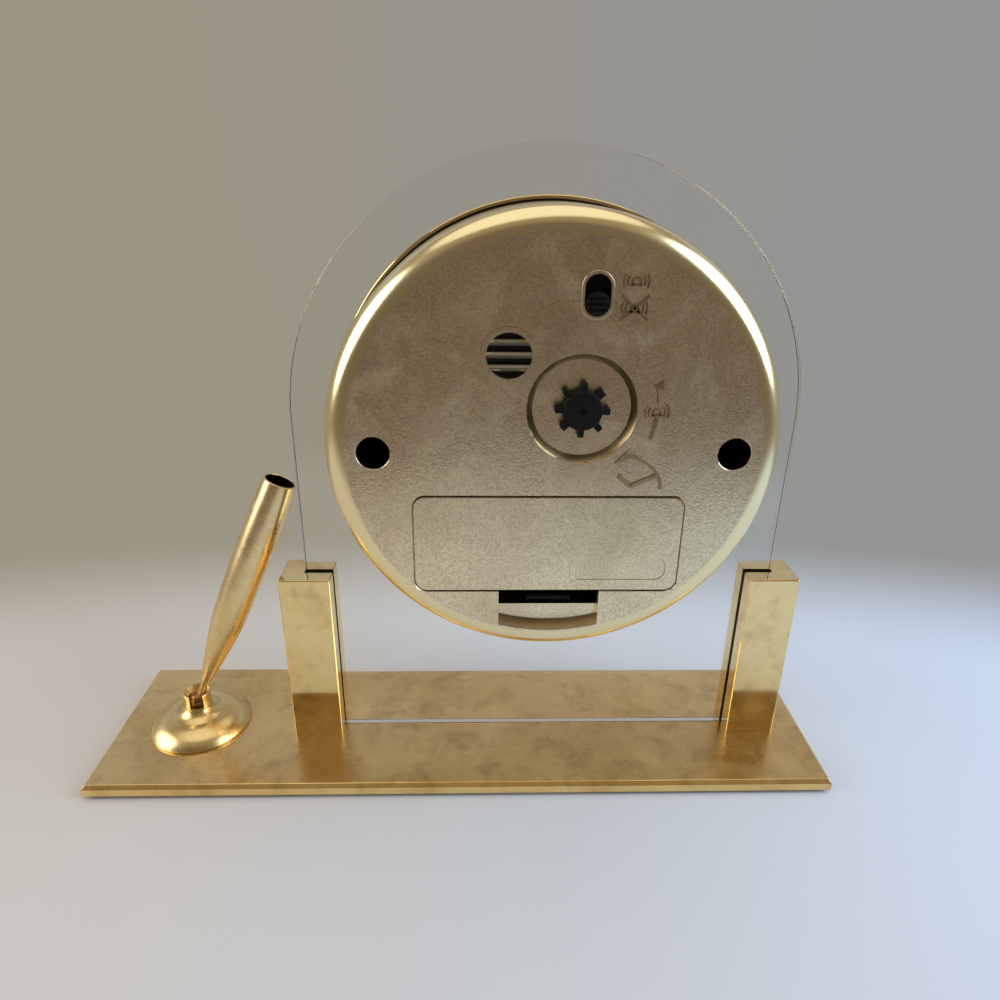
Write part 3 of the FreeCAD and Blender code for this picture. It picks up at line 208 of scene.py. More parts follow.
def arc_through(first: Point, middle: Point, last: Point, steps: int) -> list[Point]:
    """Points of the arc from one point to another that passes through a third."""
    start, through, end = (Vector(point) for point in (first, middle, last))
    side, base = through - start, end - start
    cross = 2 * (side.x * base.y - side.y * base.x)
    centre = start + Vector((base.y * side.length_squared - side.y * base.length_squared,
                             side.x * base.length_squared - base.x * side.length_squared)) / cross
    begin = math.atan2(start.y - centre.y, start.x - centre.x)
    turn = -(start - centre).angle_signed(through - centre)
    turn += -(through - centre).angle_signed(end - centre)
    radius = (start - centre).length
    return arc((centre.x, centre.y), radius, math.degrees(begin), math.degrees(begin + turn), steps)


def smooth_line(points: Sequence[Point], steps: int) -> list[Point]:
    """Smooth line through all the points, with some steps between each two."""
    line = []
    padded = [points[0], *points, points[-1]]
    for before, first, second, after in zip(padded, padded[1:], padded[2:], padded[3:]):
        for step in range(steps):
            t = step / steps
            line.append(tuple(
                0.5 * (2 * b + (c - a) * t + (2 * a - 5 * b + 4 * c - d) * t * t
                       + (3 * b - a - 3 * c + d) * t ** 3)
                for a, b, c, d in zip(before, first, second, after)))
    line.append(tuple(points[-1]))
    return line


def block(low: Sequence[float], high: Sequence[float]) -> bmesh.types.BMesh:
    """Box between two corners."""
    shape = bmesh.new()
    centre = [(a + b) / 2 for a, b in zip(low, high)]
    size = [b - a for a, b in zip(low, high)]
    bmesh.ops.create_cube(shape, size=1.0, matrix=Matrix.Translation(centre) @ Matrix.Diagonal((*size, 1.0)))
    return shape


def slab(x: float, z: float, half_x: float, half_z: float, y0: float, y1: float) -> bmesh.types.BMesh:
    """Box centred on (x, z) that runs from y0 to y1."""
    return block((x - half_x, y0, z - half_z), (x + half_x, y1, z + half_z))


def prism(outline: Iterable[Sequence[float]], pull: Sequence[float]) -> bmesh.types.BMesh:
    """Closed shape that a flat outline leaves when it is pulled along a vector."""
    shape = bmesh.new()
    face = shape.faces.new([shape.verts.new(point) for point in outline])
    grown = bmesh.ops.extrude_face_region(shape, geom=[face])
    bmesh.ops.translate(shape, verts=new_verts(grown), vec=pull)
    bmesh.ops.recalc_face_normals(shape, faces=shape.faces)
    return shape


def new_verts(grown: dict) -> list[bmesh.types.BMVert]:
    """Points that an extrusion has made."""
    return [item for item in grown["geom"] if isinstance(item, bmesh.types.BMVert)]


def moved(shape: bmesh.types.BMesh, x: float, y: float, z: float) -> bmesh.types.BMesh:
    """Carry a shape along."""
    bmesh.ops.translate(shape, verts=shape.verts, vec=(x, y, z))
    return shape


def swung(shape: bmesh.types.BMesh, turn: Matrix) -> bmesh.types.BMesh:
    """Turn a shape about the origin."""
    bmesh.ops.rotate(shape, verts=shape.verts, cent=(0, 0, 0), matrix=turn)
    return shape


def about(axis: Axis, angle: float) -> Matrix:
    """Turn about a main direction, in degrees."""
    return Matrix.Rotation(math.radians(angle), 3, axis.name)


def drum(x: float, z: float, radius: float, y0: float, y1: float, segments: int = 64,
         end_radius: float | None = None) -> bmesh.types.BMesh:
    """Cylinder or cone along Y.

    Args:
        x: Place of its axis.
        z: Place of its axis.
        radius: Radius at y0.
        y0: Where it starts.
        y1: Where it ends.
        segments: Sides.
        end_radius: Radius at y1, the same as at y0 if left out.

    Returns:
        The closed shape.
    """
    shape = bmesh.new()
    last = radius if end_radius is None else end_radius
    place = Matrix.Translation((x, (y0 + y1) / 2, z)) @ Matrix.Rotation(-math.pi / 2, 4, "X")
    bmesh.ops.create_cone(shape, cap_ends=True, segments=segments, radius1=radius, radius2=last,
                          depth=y1 - y0, matrix=place)
    return shape


def edges_along(shape: bmesh.types.BMesh, axis: Axis) -> list[bmesh.types.BMEdge]:
    """Straight edges that run along an axis."""
    along = []
    for edge in shape.edges:
        run = edge.verts[1].co - edge.verts[0].co
        if run.length > 0 and abs(run.normalized().dot(axis.vector)) > 0.999:
            along.append(edge)
    return along


def round_off(shape: bmesh.types.BMesh, edges: Sequence[bmesh.types.BMEdge], radius: float,
              segments: int) -> bmesh.types.BMesh:
    """Round or chamfer some edges of a shape."""
    bmesh.ops.bevel(shape, geom=list(edges), offset=radius, segments=segments, profile=0.5,
                    affect="EDGES", material=-1, clamp_overlap=True)
    return shape


def soft_plate(width: float, height: float, corner: float, x: float, z: float, y0: float,
               y1: float, segments: int = 10) -> bmesh.types.BMesh:
    """Rectangle with round corners, facing Y and centred on (x, z)."""
    shape = slab(x, z, width / 2, height / 2, y0, y1)
    return round_off(shape, edges_along(shape, Axis.Y), corner, segments)


def flared(shape: bmesh.types.BMesh, rise: float, spread: float) -> bmesh.types.BMesh:
    """Widen a cutter towards +Y, so that the opening it leaves has a sloped edge.

    Args:
        shape: Cutter whose flat end faces +Y at the face that it cuts.
        rise: Depth of the slope.
        spread: How much wider the mouth is on each side.

    Returns:
        The same shape with its end carried on past the face.
    """
    ends = [face for face in shape.faces if face.normal.y > 0.99]
    bmesh.ops.translate(shape, verts=last_along(ends).verts, vec=(0, -rise, 0))
    for step, wider in ((rise, spread), (OVERCUT, 0.0)):
        end = [last_along([face for face in shape.faces if face.normal.y > 0.99])]
        grown = bmesh.ops.extrude_face_region(shape, geom=end)
        bmesh.ops.delete(shape, geom=end, context="FACES_ONLY")
        verts = new_verts(grown)
        bmesh.ops.translate(shape, verts=verts, vec=(0, step, 0))
        if wider:
            spread_out(verts, wider)
    bmesh.ops.recalc_face_normals(shape, faces=shape.faces)
    return shape


def last_along(faces: Sequence[bmesh.types.BMFace]) -> bmesh.types.BMFace:
    """Face that lies furthest along +Y."""
    return max(faces, key=lambda face: face.calc_center_median().y)


def spread_out(verts: Sequence[bmesh.types.BMVert], wider: float) -> None:
    """Move the points of an outline away from its middle, corners to both sides."""
    centre = sum((vert.co for vert in verts), Vector()) / len(verts)
    for vert in verts:
        away = vert.co - centre
        away.y = 0
        length = max(away.length, 1e-6)
        vert.co.x += math.copysign(wider, away.x) * min(1.0, abs(away.x) / length * CORNER_SPREAD)
        vert.co.z += math.copysign(wider, away.z) * min(1.0, abs(away.z) / length * CORNER_SPREAD)


def combined(first: bmesh.types.BMesh, second: bmesh.types.BMesh, how: Cut) -> bmesh.types.BMesh:
    """Combine two closed shapes.

    Args:
        first: Shape that is worked on.
        second: Shape that is added, taken away or shared.
        how: Which of these.

    Returns:
        The combined shape; both shapes given are freed.
    """
    objects = []
    for shape in (first, second):
        mesh = bpy.data.meshes.new("shape")
        bmesh.ops.recalc_face_normals(shape, faces=shape.faces)
        shape.to_mesh(mesh)
        shape.free()
        holder = bpy.data.objects.new("shape", mesh)
        bpy.context.scene.collection.objects.link(holder)
        objects.append(holder)
    modifier = objects[0].modifiers.new("combine", "BOOLEAN")
    modifier.object = objects[1]
    modifier.operation = how.value
    modifier.solver = "EXACT"
    bpy.context.view_layer.update()
    graph = bpy.context.evaluated_depsgraph_get()
    result = bpy.data.meshes.new_from_object(objects[0].evaluated_get(graph))
    shape = bmesh.new()
    shape.from_mesh(result)
    for holder in objects:
        mesh = holder.data
        bpy.data.objects.remove(holder)
        bpy.data.meshes.remove(mesh)
    bpy.data.meshes.remove(result)
    return shape


def carved(shape: bmesh.types.BMesh, cutters: Iterable[bmesh.types.BMesh]) -> bmesh.types.BMesh:
    """Cut several closed shapes out of one."""
    for cutter in cutters:
        shape = combined(shape, cutter, Cut.AWAY)
    return shape


def built_up(shape: bmesh.types.BMesh, pieces: Iterable[bmesh.types.BMesh]) -> bmesh.types.BMesh:
    """Join several closed shapes to one."""
    for piece in pieces:
        shape = combined(shape, piece, Cut.WITH)
    return shape


# Surface effects shared by the finishes


class NodeSheet:
    """Short calls for making and joining shader nodes."""

    def __init__(self, tree: bpy.types.NodeTree) -> None:
        """Work on one tree."""
        self.tree = tree

    def add(self, kind: str, **values: object) -> bpy.types.Node:
        """Add a node.

        Args:
            kind: Blender's name of the node.
            values: Settings of the node, or inputs by name where it has no such setting.

        Returns:
            The node.
        """
        node = self.tree.nodes.new(kind)
        for name, value in values.items():
            if hasattr(node, name):
                setattr(node, name, value)
            else:
                node.inputs[name.replace("_", " ")].default_value = value
        return node

    def link(self, start: bpy.types.NodeSocket, end: bpy.types.NodeSocket) -> None:
        """Join an output to an input."""
        self.tree.links.new(start, end)

    def math(self, operation: str, first: object, second: object = 0.0, third: object = 0.0
             ) -> bpy.types.NodeSocket:
        """Add a math node with numbers or sockets as inputs, and give its output."""
        node = self.add("ShaderNodeMath", operation=operation)
        for socket, value in zip(node.inputs, (first, second, third)):
            if isinstance(value, bpy.types.NodeSocket):
                self.link(value, socket)
            else:
                socket.default_value = value
        return node.outputs[0]

    def ramp(self, value: bpy.types.NodeSocket, low: float, high: float, to_low: float = 0.0,
             to_high: float = 1.0) -> bpy.types.NodeSocket:
        """Stretch a value smoothly from one range to another."""
        node = self.add("ShaderNodeMapRange", interpolation_type="SMOOTHSTEP")
        self.link(value, node.inputs["Value"])
        for name, number in (("From Min", low), ("From Max", high), ("To Min", to_low), ("To Max", to_high)):
            node.inputs[name].default_value = number
        return node.outputs["Result"]

    def mix(self, factor: bpy.types.NodeSocket, first: object, second: object) -> bpy.types.NodeSocket:
        """Mix two colours or colour sockets."""
        node = self.add("ShaderNodeMix", data_type="RGBA")
        self.link(factor, node.inputs[0])
        for socket, value in ((node.inputs[6], first), (node.inputs[7], second)):
            if isinstance(value, bpy.types.NodeSocket):
                self.link(value, socket)
            else:
                socket.default_value = (*value, 1.0)
        return node.outputs[2]


class Effects:
    """Node groups for the effects that several finishes use."""

    def __init__(self) -> None:
        """Make each group once: clouds of tarnish, sandy grain, drawn hairlines, and smears and dust."""
        low_high = {"Low": ("From Min", 0.4), "High": ("From Max", 0.65)}
        least_most = {"Least": ("To Min", 0.1), "Most": ("To Max", 0.3)}
        self.clouds = self._stretched("tarnish clouds", 30, low_high, "Mask",
                                      dict(Detail=6.0, Roughness=0.62, Distortion=0.4), {})
        # The sandy grain also gives a mask of its pits, which the case uses to paint shade there.
        self.grain = self._bumps("sandy grain", 1200, dict(Detail=2.0, Roughness=0.55), "Speckle",
                                 (0.36, 0.6, 1.0, 0.0))
        self.scratches = self._bumps("hairlines", 400, dict(Detail=4.0, Roughness=0.8), "Mask", (0.56, 0.72))
        self.smears = self._stretched("smears", 60, least_most, "Roughness",
                                      dict(Detail=5.0, Roughness=0.6, Distortion=1.2),
                                      dict(From_Min=0.42, From_Max=0.7))

    @staticmethod
    def _start(name: str, inputs: dict[str, float], outputs: Sequence[str], noise_values: dict[str, float]
               ) -> tuple[NodeSheet, bpy.types.Node, bpy.types.Node, bpy.types.NodeSocket]:
        """Start a group with a noise in it.

        Args:
            name: Name of the group.
            inputs: Name and default of each number that it takes besides a vector.
            outputs: Names of the numbers that it puts out.
            noise_values: Settings of the noise.

        Returns:
            The sheet, the group's input and output nodes, and the noise.
        """
        group = bpy.data.node_groups.new(name, "ShaderNodeTree")
        group.interface.new_socket("Vector", in_out="INPUT", socket_type="NodeSocketVector")
        for label, default in inputs.items():
            socket = group.interface.new_socket(label, in_out="INPUT", socket_type="NodeSocketFloat")
            socket.default_value = default
        for label in outputs:
            group.interface.new_socket(label, in_out="OUTPUT", socket_type="NodeSocketFloat")
        sheet = NodeSheet(group)
        given, out = sheet.add("NodeGroupInput"), sheet.add("NodeGroupOutput")
        noise = sheet.add("ShaderNodeTexNoise", **noise_values)
        sheet.link(given.outputs["Vector"], noise.inputs["Vector"])
        sheet.link(given.outputs["Scale"], noise.inputs["Scale"])
        return sheet, given, out, noise.outputs["Fac"]

    def _stretched(self, name: str, scale: float, ends: dict[str, tuple[str, float]], output: str,
                   noise_values: dict[str, float], fixed: dict[str, float]) -> bpy.types.NodeTree:
        """Noise stretched smoothly between ends that the finish gives.

        Args:
            name: Name of the group.
            scale: Default scale of the noise.
            ends: For each input, the end of the range that it sets and its default.
            output: Name of the output.
            noise_values: Settings of the noise.
            fixed: Ends that the finish doesn't give.

        Returns:
            The group.
        """
        inputs = {"Scale": scale, **{label: default for label, (_, default) in ends.items()}}
        sheet, given, out, noise = self._start(name, inputs, [output], noise_values)
        stretch = sheet.add("ShaderNodeMapRange", interpolation_type="SMOOTHSTEP", **fixed)
        sheet.link(noise, stretch.inputs["Value"])
        for label, (end, _) in ends.items():
            sheet.link(given.outputs[label], stretch.inputs[end])
        sheet.link(stretch.outputs["Result"], out.inputs[output])
        return sheet.tree

    def _bumps(self, name: str, scale: float, noise_values: dict[str, float], mask: str,
               ends: Sequence[float]) -> bpy.types.NodeTree:
        """Height of fine bumps, and a mask of their tops or pits between two ends."""
        inputs = {"Scale": scale, "Depth": 1}
        sheet, given, out, noise = self._start(name, inputs, ["Height", mask], noise_values)
        sheet.link(sheet.math("MULTIPLY", noise, given.outputs["Depth"]), out.inputs["Height"])
        sheet.link(sheet.ramp(noise, *ends), out.inputs[mask])
        return sheet.tree


# Finishes


@dataclass(frozen=True)
class Finish:
    """A plain finish with a little life in its colour, gloss and surface.

    Attributes:
        name: Name of the material.
        slot: Slot of the record; not used.
        colour: Main colour.
        metallic: 1 for metal.
        least_rough: Roughness where it is cleanest.
        most_rough: Roughness where it is dullest.
        shade: Second colour of its uneven patches.
        grain_size: Scale of its fine bumps.
        grain_depth: Depth of its fine bumps, in millimetres.
        patch_size: Scale of its patches.
        shine: Share of light that it throws back where it isn't metal.
        stretch: How its pattern is stretched along X, Y and Z.
    """

    name: str
    slot: str
    colour: Colour
    metallic: float = 0.0
    least_rough: float = 0.3
    most_rough: float = 0.5
    shade: Colour | None = None
    grain_size: float = 1800.0
    grain_depth: float = 0.01
    patch_size: float = 40.0
    shine: float = 0.5
    stretch: tuple[float, float, float] = (1.0, 1.0, 1.0)

    def material(self, effects: Effects) -> bpy.types.Material:
        """Make the material, or give the one already made.

        Args:
            effects: Shared node groups.

        Returns:
            The material.
        """
        known = bpy.data.materials.get(self.name)
        if known:
            return known
        material = bpy.data.materials.new(self.name)
        material.use_nodes = True
        material.diffuse_color = (*self.colour, 1.0)
        sheet = NodeSheet(material.node_tree)
        shader = material.node_tree.nodes["Principled BSDF"]
        shader.inputs["Metallic"].default_value = self.metallic
        shader.inputs["Specular IOR Level"].default_value = self.shine
        self.paint(sheet, shader, effects)
        return material

    def coordinates(self, sheet: NodeSheet, stretch: tuple[float, float, float] | None = None,
                    centre: tuple[float, float, float] = (0.0, 0.0, 0.0)) -> bpy.types.NodeSocket:
        """Object coordinates, stretched for drawn lines or moved to a centre."""
        given = sheet.add("ShaderNodeTexCoord")
        mapping = sheet.add("ShaderNodeMapping")
        mapping.inputs["Scale"].default_value = stretch or self.stretch
        mapping.inputs["Location"].default_value = centre
        sheet.link(given.outputs["Object"], mapping.inputs["Vector"])
        return mapping.outputs["Vector"]

    def group(self, sheet: NodeSheet, tree: bpy.types.NodeTree, vector: bpy.types.NodeSocket,
              **values: float) -> bpy.types.Node:
        """Place an effect group with its values."""
        node = sheet.add("ShaderNodeGroup", node_tree=tree)
        sheet.link(vector, node.inputs["Vector"])
        for name, value in values.items():
            node.inputs[name].default_value = value
        return node

    def smeared(self, sheet: NodeSheet, effects: Effects, vector: bpy.types.NodeSocket, finer: float
                ) -> bpy.types.NodeSocket:
        """Roughness of the finish, with smears this much finer than its patches."""
        smears = self.group(sheet, effects.smears, vector, Scale=self.patch_size * finer,
                            Least=self.least_rough, Most=self.most_rough)
        return smears.outputs["Roughness"]

    def bump(self, sheet: NodeSheet, shader: bpy.types.Node, height: bpy.types.NodeSocket,
             strength: float = 0.35) -> None:
        """Turn a height into the shader's normal."""
        node = sheet.add("ShaderNodeBump", Strength=strength, Distance=self.grain_depth * MM)
        sheet.link(height, node.inputs["Height"])
        sheet.link(node.outputs["Normal"], shader.inputs["Normal"])

    def paint(self, sheet: NodeSheet, shader: bpy.types.Node, effects: Effects) -> None:
        """Colour, gloss and surface of the finish."""
        vector = self.coordinates(sheet)
        patches = self.group(sheet, effects.clouds, vector, Scale=self.patch_size, Low=0.4, High=0.68)
        shade = self.shade or tuple(channel * 0.82 for channel in self.colour)
        sheet.link(sheet.mix(patches.outputs["Mask"], self.colour, shade), shader.inputs["Base Color"])
        sheet.link(self.smeared(sheet, effects, vector, 1.7), shader.inputs["Roughness"])
        grain = self.group(sheet, effects.grain, vector, Scale=self.grain_size, Depth=1.0)
        self.bump(sheet, shader, grain.outputs["Height"])


@dataclass(frozen=True)
class TarnishedBrass(Finish):
    """Satin brass with brown clouds, drawn hairlines and a few dark specks."""

    tarnish: Colour = (0.2, 0.12, 0.05)

    def paint(self, sheet: NodeSheet, shader: bpy.types.Node, effects: Effects) -> None:
        """Clouds of tarnish over drawn brass."""
        vector = self.coordinates(sheet, (1.0, 1.0, 1.0))
        wide = self.group(sheet, effects.clouds, vector, Scale=self.patch_size, Low=0.36, High=0.66)
        small = self.group(sheet, effects.clouds, vector, Scale=self.patch_size * 6, Low=0.45, High=0.72)
        dull = sheet.mix(wide.outputs["Mask"], self.colour, self.shade)
        small_share = sheet.math("MULTIPLY", small.outputs["Mask"], 0.45)
        dull = sheet.mix(small_share, dull, self.tarnish)
        specks = self.group(sheet, effects.clouds, vector, Scale=self.patch_size * 38, Low=0.66, High=0.7)
        speck_share = sheet.math("MULTIPLY", specks.outputs["Mask"], 0.6)
        sheet.link(sheet.mix(speck_share, dull, self.tarnish), shader.inputs["Base Color"])
        smears = self.smeared(sheet, effects, vector, 2.3)
        drawn = self.coordinates(sheet, self.stretch)
        lines = self.group(sheet, effects.scratches, drawn, Scale=self.grain_size, Depth=1.0)
        rough = sheet.math("MULTIPLY_ADD", lines.outputs["Mask"], 0.1, smears)
        sheet.link(rough, shader.inputs["Roughness"])
        self.bump(sheet, shader, lines.outputs["Height"], 0.1)


@dataclass(frozen=True)
class MetallisedCase(Finish):
    """Champagne face with a sandy grain, and a polished rim of a deeper gold beyond a radius; the pits of the
    grain are darkened as painted shade.
    """

    centre: tuple[float, float] = (0.0, 0.0)
    face_radius: float = 43.5
    rim_colour: Colour = (0.92, 0.8, 0.47)
    rim_rough: float = 0.2
    blush: Colour = (0.66, 0.43, 0.31)
    # Painted shade: colour and share of the darkening in the pits of the sandy grain.
    pit: Colour = (0.42, 0.35, 0.22)
    speckle: float = 0.42

    def paint(self, sheet: NodeSheet, shader: bpy.types.Node, effects: Effects) -> None:
        """Face and rim told apart by the distance from the clock's axis."""
        vector = self.coordinates(sheet, (1.0, 1.0, 1.0))
        centred = self.coordinates(sheet, (1.0, 0.0, 1.0), (-self.centre[0] * MM, 0.0, -self.centre[1] * MM))
        distance = sheet.add("ShaderNodeVectorMath", operation="LENGTH")
        sheet.link(centred, distance.inputs[0])
        radius = distance.outputs["Value"]
        rim = sheet.ramp(radius, self.face_radius * MM, (self.face_radius + 0.8) * MM)
        patches = self.group(sheet, effects.clouds, vector, Scale=self.patch_size, Low=0.38, High=0.7)
        face = sheet.mix(patches.outputs["Mask"], self.colour, self.shade)
        blushes = self.group(sheet, effects.clouds, vector, Scale=self.patch_size * 0.45, Low=0.45, High=0.7)
        face = sheet.mix(sheet.math("MULTIPLY", blushes.outputs["Mask"], 0.75), face, self.blush)
        grain = self.group(sheet, effects.grain, vector, Scale=self.grain_size, Depth=1.0)
        # Painted shade: the grain's pits are darkened.
        face = sheet.mix(sheet.math("MULTIPLY", grain.outputs["Speckle"], self.speckle), face, self.pit)
        sheet.link(sheet.mix(rim, face, self.rim_colour), shader.inputs["Base Color"])
        face_share = sheet.math("SUBTRACT", 1.0, rim)
        face_rough = sheet.math("MULTIPLY", self.smeared(sheet, effects, vector, 3), face_share)
        sheet.link(sheet.math("MULTIPLY_ADD", rim, self.rim_rough, face_rough), shader.inputs["Roughness"])
        share = sheet.math("MULTIPLY_ADD", face_share, 0.88, 0.12)
        self.bump(sheet, shader, sheet.math("MULTIPLY", grain.outputs["Height"], share), 0.7)


@dataclass(frozen=True)
class Clear(Finish):
    """See-through plastic or glass with faint smears."""

    ior: float = 1.49
    through: float = 1.0

    def paint(self, sheet: NodeSheet, shader: bpy.types.Node, effects: Effects) -> None:
        """Mostly see-through, with a little haze."""
        shader.inputs["Transmission Weight"].default_value = self.through
        shader.inputs["IOR"].default_value = self.ior
        shader.inputs["Base Color"].default_value = (*self.colour, 1.0)
        vector = self.coordinates(sheet)
        sheet.link(self.smeared(sheet, effects, vector, 1), shader.inputs["Roughness"])


class Finishes:
    """All finishes of the set."""

    def __init__(self, places: Places) -> None:
        """Set the finishes for this set's places."""
        self.effects = Effects()
        centre = (places.clock_x, places.clock_z)
        self.base = TarnishedBrass("satin tarnished brass", "satin_brass", (0.95, 0.72, 0.38), 1.0, 0.24,
                                   0.38,
                                   (0.78, 0.56, 0.27), 900.0, 0.008, 22.0, stretch=(0.03, 1.0, 1.0),
                                   tarnish=(0.42, 0.27, 0.12))
        self.base_edge = TarnishedBrass("base edge brass", "satin_brass", (0.95, 0.7, 0.3), 1.0, 0.14, 0.24,
                                        (0.84, 0.58, 0.22), 900.0, 0.005, 22.0, stretch=(0.03, 1.0, 1.0),
                                        tarnish=(0.5, 0.3, 0.1))
        self.brass = TarnishedBrass("polished brass", "polished_brass", (0.94, 0.74, 0.37), 1.0, 0.08, 0.16,
                                    (0.84, 0.62, 0.27), 900.0, 0.004, 26.0, stretch=(1.0, 1.0, 0.04),
                                    tarnish=(0.5, 0.33, 0.12))
        self.spun = TarnishedBrass("spun brass", "polished_brass", (0.93, 0.76, 0.43), 1.0, 0.26, 0.36,
                                   (0.82, 0.62, 0.29), 900.0, 0.004, 26.0, stretch=(1.0, 1.0, 0.04),
                                   tarnish=(0.5, 0.35, 0.15))
        self.case = MetallisedCase("champagne metallised case", "champagne_plastic", (0.93, 0.82, 0.57), 1.0,
                                   0.26, 0.38, (0.77, 0.65, 0.42), 2300.0, 0.05, 22.0, centre=centre)
        # Painted shade: black for the deep hollows of the case, the door's hidden tongue and the pen tube's
        # bore.
        self.well = Finish("dark well", "champagne_plastic", (0.007, 0.006, 0.006), 0.0, 0.45, 0.6,
                           shine=0.15)
        # Painted shade: the grille's bars, moulded with the case, are coloured a dark grey.
        self.grille = Finish("dull grille bar", "champagne_plastic", (0.27, 0.24, 0.18), 1.0, 0.4, 0.5)
        self.shaded = Finish("shaded wall", "champagne_plastic", (0.36, 0.27, 0.14), 1.0, 0.28, 0.42,
                             (0.28, 0.2, 0.1), 1500.0, 0.04)
        # Painted shade: the raised signs' tops are a darker gold than the face, so that the relief reads.
        self.sign = Finish("raised sign gold", "champagne_plastic", (0.5, 0.41, 0.25), 1.0, 0.24, 0.34)
        self.gold = Finish("gold front case", "gold_plastic", (0.8, 0.58, 0.26), 1.0, 0.16, 0.26,
                           (0.72, 0.5, 0.2), 1200.0, 0.004)
        self.bezel = Finish("bright bezel", "bright_gold", (0.92, 0.7, 0.3), 1.0, 0.07, 0.14,
                            (0.85, 0.62, 0.24), 900.0, 0.002)
        self.acrylic = Clear("clear acrylic", "clear_acrylic", (0.985, 0.99, 0.985), 0.0, 0.0, 0.03)
        self.glass = Clear("lens glass", "lens_glass", (0.99, 1.0, 0.995), 0.0, 0.0, 0.02, ior=1.5)
        self.pad = Finish("dark pad", "pad", (0.016, 0.015, 0.015), 0.0, 0.8, 0.95, grain_depth=0.05)
        self.knob = Finish("black moulding", "knob_black", (0.008, 0.008, 0.009), 0.0, 0.45, 0.65, shine=0.18)
        self.copper = TarnishedBrass("worn copper brown", "copper_brown", (0.5, 0.26, 0.12), 1.0, 0.18, 0.32,
                                     (0.25, 0.12, 0.05), 900.0, 0.01, 120.0)
        self.dial = Finish("dial white", "dial_face", (0.9, 0.88, 0.82), 0.0, 0.35, 0.45, (0.87, 0.85, 0.78),
                           2400.0, 0.004)
        self.print = Finish("printed black", "dial_face", (0.015, 0.015, 0.016), 0.0, 0.4, 0.5)
        self.date = Finish("date ring white", "date_white", (0.92, 0.91, 0.88), 0.0, 0.45, 0.55)
        self.date_print = Finish("date figures", "date_white", (0.02, 0.02, 0.02), 0.0, 0.5, 0.6)
        self.hand = Finish("black hand", "hand_black", (0.012, 0.012, 0.013), 0.0, 0.18, 0.3)
        self.gilt = Finish("gilt hand", "hand_gold", (0.88, 0.64, 0.26), 1.0, 0.15, 0.25)
        self.steel = Finish("screw steel", "steel", (0.5, 0.5, 0.5), 1.0, 0.25, 0.4)
        self.nickel = Finish("nickel leaf", "nickel", (0.68, 0.66, 0.62), 1.0, 0.2, 0.32)
        self.black = Finish("movement black", "black_plastic", (0.02, 0.02, 0.021), 0.0, 0.4, 0.6)
        self.board = Finish("green board", "board", (0.03, 0.2, 0.08), 0.0, 0.3, 0.45)
        self.wire = Finish("enamelled wire", "copper_wire", (0.55, 0.2, 0.07), 0.7, 0.3, 0.4)
        self.iron = Finish("soft iron", "iron", (0.42, 0.42, 0.44), 1.0, 0.3, 0.45)
        self.wheel = Finish("natural wheel plastic", "white_plastic", (0.82, 0.8, 0.72), 0.0, 0.35, 0.5)
        self.wheel_brass = Finish("turned wheel brass", "gear_brass", (0.8, 0.6, 0.27), 1.0, 0.2, 0.3)
        self.cell = Finish("cell wrap", "cell_wrap", (0.03, 0.03, 0.035), 0.0, 0.2, 0.3)
        self.cell_gold = Finish("cell gold end", "cell_wrap", (0.75, 0.5, 0.2), 0.8, 0.25, 0.35)


@dataclass
class Bench:
    """Where shapes become pieces of the set."""

    places: Places
    finishes: Finishes

    def settle(self, name: str, shape: bmesh.types.BMesh, finish: Finish, body: str = "stand",
               replaces: Sequence[str] = (), crease: float = 34.0, edge: float = 0.0,
               others: Sequence[tuple[Finish, FaceTest]] = ()) -> bpy.types.Object:
        """Turn a shape into a finished piece.

        Args:
            name: Name of the piece.
            shape: Shape in millimetres, in its place.
            finish: Its finish.
            body: Body that it rides on.
            replaces: CAD nodes that it stands for.
            crease: Sharpest angle that is shaded smooth, in degrees.
            edge: Width of softened edges, in millimetres, or 0.
            others: Further finishes, each with a test that says which faces take it.

        Returns:
            The piece.
        """
        mesh = bpy.data.meshes.new(name)
        for item in (finish, *(other for other, _ in others)):
            mesh.materials.append(item.material(self.finishes.effects))
        shape.normal_update()
        for index, (_, takes) in enumerate(others, 1):
            for face in shape.faces:
                if takes(face):
                    face.material_index = index
        bmesh.ops.scale(shape, verts=shape.verts, vec=(MM, MM, MM))
        shape.to_mesh(mesh)
        shape.free()
        mesh.shade_smooth()
        mesh.set_sharp_from_angle(angle=math.radians(crease))
        piece = bpy.data.objects.new(name, mesh)
        bpy.context.scene.collection.objects.link(piece)
        if edge:
            bevel = piece.modifiers.new("soft edges", "BEVEL")
            bevel.width = edge * MM
            bevel.segments = 3
            bevel.limit_method = "ANGLE"
            bevel.angle_limit = math.radians(crease)
            bevel.use_clamp_overlap = True
        weighted = piece.modifiers.new("flat faces stay flat", "WEIGHTED_NORMAL")
        weighted.keep_sharp = True
        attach(piece, body)
        if replaces:
            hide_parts(*replaces)
        LOG.info("%s: %d faces on %s", name, len(mesh.polygons), body)
        return piece

    def from_node(self, node: str) -> bmesh.types.BMesh:
        """Merged copy of a CAD node's mesh, in millimetres."""
        shape = bmesh.new()
        shape.from_mesh(frame["nodes"][node].data)
        bmesh.ops.scale(shape, verts=shape.verts, vec=(1 / MM, 1 / MM, 1 / MM))
        bmesh.ops.remove_doubles(shape, verts=shape.verts, dist=1e-3)
        bmesh.ops.dissolve_limit(shape, angle_limit=math.radians(1.0), verts=shape.verts, edges=shape.edges)
        return shape

    def dress(self, node: str, finish: Finish, edge: float = 0.0) -> bpy.types.Object:
        """Show a smooth copy of a CAD node in a finish."""
        body = next(name for name, empty in frame["bodies"].items() if frame["nodes"][node].parent is empty)
        return self.settle(node + "_piece", self.from_node(node), finish, body, (node,), edge=edge)


